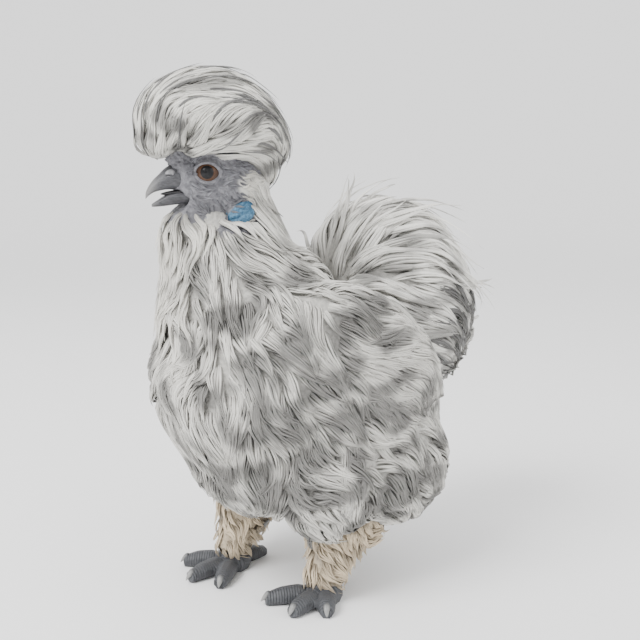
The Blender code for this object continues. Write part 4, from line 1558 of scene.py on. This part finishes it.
# The tail: broad soft plumes on a core of down, rooted in the rump, which fan up and back and fall over
# behind. Narrow plumes arch free of its top and front, and its rear edge ends in dark wisps: dark tips,
# and painted shade in stripes between its lower plumes.

tail_low, tail_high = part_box("tail")
TAIL_ROOT = np.array([0, tail_low.y + 0.004, tail_low.z + 0.058])
TAIL_END = np.array([0, tail_high.y - 0.004, tail_low.z + 0.004])


def tail_flow(points):
    """From the saddle up and over the tail to its lower rear edge."""
    away, home, near, far = between(points, TAIL_ROOT, TAIL_END)
    home[:, 0] *= 0.25
    fall = 0.8 + 1.6 * smooth_step(0.045, 0.090, points[:, 1:2])
    return unit(away / near**1.5 + fall * home / far**1.5)


def off_body(p, n):
    return coat.inside_by(p) < 0.002


def on_tail_top(p, n):
    return (p[:, 2] > 0.186) & (p[:, 1] < 0.056) & off_body(p, n)


def on_tail_edge(p, n):
    edge = (p[:, 1] > 0.046 + 0.30 * np.maximum(p[:, 2] - 0.165, 0)) & (p[:, 2] < 0.205)
    return edge & off_body(p, n)


down_core("down_tail", tail_coat, 0.0050, down_material)
tail_material = coat_look("tail_plumage", (0.80, 0.785, 0.738), PLUME_DARK, 0.85)
roots = tail_coat.scatter(0.0086 * density, off_body, 42)
grow_piece(
    "coat_tail", "plumage", tail_material, tail_coat, roots, tail_flow, 58, 1.12, steps=10, strands=8,
    spread=5.4, sway=0.16, wave=60, curl=0.35, depth=0.006, free=0.25, wander=45, lift=1.8, seed=52,
)
roots = tail_coat.scatter(0.0088 * density, on_tail_top, 46)
grow_piece(
    "coat_tail_arches", "plumage", tail_material, tail_coat, roots, tail_flow, 60, 0.74, steps=14,
    strands=4, spread=1.7, sway=0.22, wave=60, curl=0.6, depth=0.004, free=0.9, wander=30, lift=13.0,
    sink=0.0006, seed=56,
)
# Dark wisps on the lower rear edge: partly dark tips, partly painted shade between the plumes.
roots = tail_coat.scatter(0.0092 * density, on_tail_edge, 45)
grow_piece(
    "coat_tail_shade_wisps", "plumage_shade", dark_material, tail_coat, roots, tail_flow, 34, 0.62, steps=10,
    strands=5, spread=2.2, sway=0.22, wave=34, curl=0.40, depth=0.002, free=0.35, wander=30, lift=1.6,
    sink=-0.0006, seed=55,
)

# The cuffs: short cream feathers round the shanks, spiky behind, over a little down. They are rooted in
# the skin of the shank from the belly to the toes.

cuff_material = coat_look("cuff_plumage", CUFF_CREAM, (0.24, 0.20, 0.15), 0.40, 0.42, 0.45)
cuff_down_material = down_look("cuff_down", CUFF_CREAM)


def cuff_flow(middle):
    """Down round the shank and a little out, and more to the rear behind it."""

    def flow(points):
        out = points - middle
        out[:, 2] = 0
        out = unit(out)
        behind = np.clip(out[:, 1:2], 0, 1)
        return unit(out * 0.15 + np.array([0, 0.62, -0.80]) + behind * np.array([0, 0.50, 0.35]))

    return flow


for side, guide in cuff_coats.items():
    low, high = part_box("cuff_" + side)
    flow = cuff_flow(np.array((low + high) / 2))
    down_core("down_cuff_" + side, guide, 0.0014, cuff_down_material)
    roots = guide.scatter(0.0044 * density, lambda p, n: coat.inside_by(p) < 0.003, 43)
    grow_piece(
        "coat_cuff_" + side, "cuff", cuff_material, guide, roots, flow, 15, 0.56, steps=7, strands=5,
        spread=2.2, sway=0.35, wave=18, curl=0.5, depth=0.0015, free=0.80, wander=20, lift=2.6,
        sink=0.0004, hang=0.7, seed=53,
    )

# The studio: a pale floor that curves up into a backdrop, white light from all round, a key light in
# front, a weak fill at the side, and the camera at the photo's view.

# Radius and height of the floor, from its middle to the top of the backdrop.
FLOOR_PROFILE = [(0.01, 0), (1.2, 0), (2.2, 0), (2.9, 0.12), (3.4, 0.6), (3.6, 1.4), (3.7, 2.4)]
CAMERA_PLACE = Vector((0.4218, -0.3492, 0.2394))
CAMERA_AIM = Vector((0, 0.0047, 0.162))
LIGHT_AIM = Vector((0, 0, 0.15))

floor_rings, floor_sides = [], 96
angle = np.linspace(0, 2 * np.pi, floor_sides, endpoint=False)
for radius, height in curve_through(FLOOR_PROFILE, 40):
    level = np.full(floor_sides, max(height, 0))
    floor_rings.append(np.stack([radius * np.cos(angle), radius * np.sin(angle), level], 1))
floor_points, floor_faces = loft_rings(floor_rings)
open_top = [face for face in floor_faces if max(face) < len(floor_points) - 1]
floor = mesh_object("floor", floor_points, open_top)
look = Look("floor", 0.9)
look.feed("Base Color", (0.92, 0.92, 0.92, 1))
floor.data.materials.append(look.material)

world = bpy.data.worlds.new("studio")
bpy.context.scene.world = world
world.use_nodes = True
world.node_tree.nodes["Background"].inputs["Color"].default_value = (1, 1, 1, 1)
world.node_tree.nodes["Background"].inputs["Strength"].default_value = 1.6


def place_facing(name, data, place, aim):
    """An object at a place that points at its aim, like a lamp or a camera."""
    made = bpy.data.objects.new(name, data)
    bpy.context.scene.collection.objects.link(made)
    made.location = place
    made.rotation_euler = (aim - place).to_track_quat("-Z", "Y").to_euler()
    return made


def add_light(name, place, size, power):
    light = bpy.data.lights.new(name, "AREA")
    light.size = size
    light.energy = power
    place_facing(name, light, Vector(place), LIGHT_AIM)


add_light("key", (0.1, -1.4, 1.5), 1.0, 52)
add_light("fill", (1.5, 0.3, 0.8), 1.2, 6)

camera = bpy.data.cameras.new("camera")
camera.lens = 50
camera.sensor_width = 36
bpy.context.scene.camera = place_facing("camera", camera, CAMERA_PLACE, CAMERA_AIM)
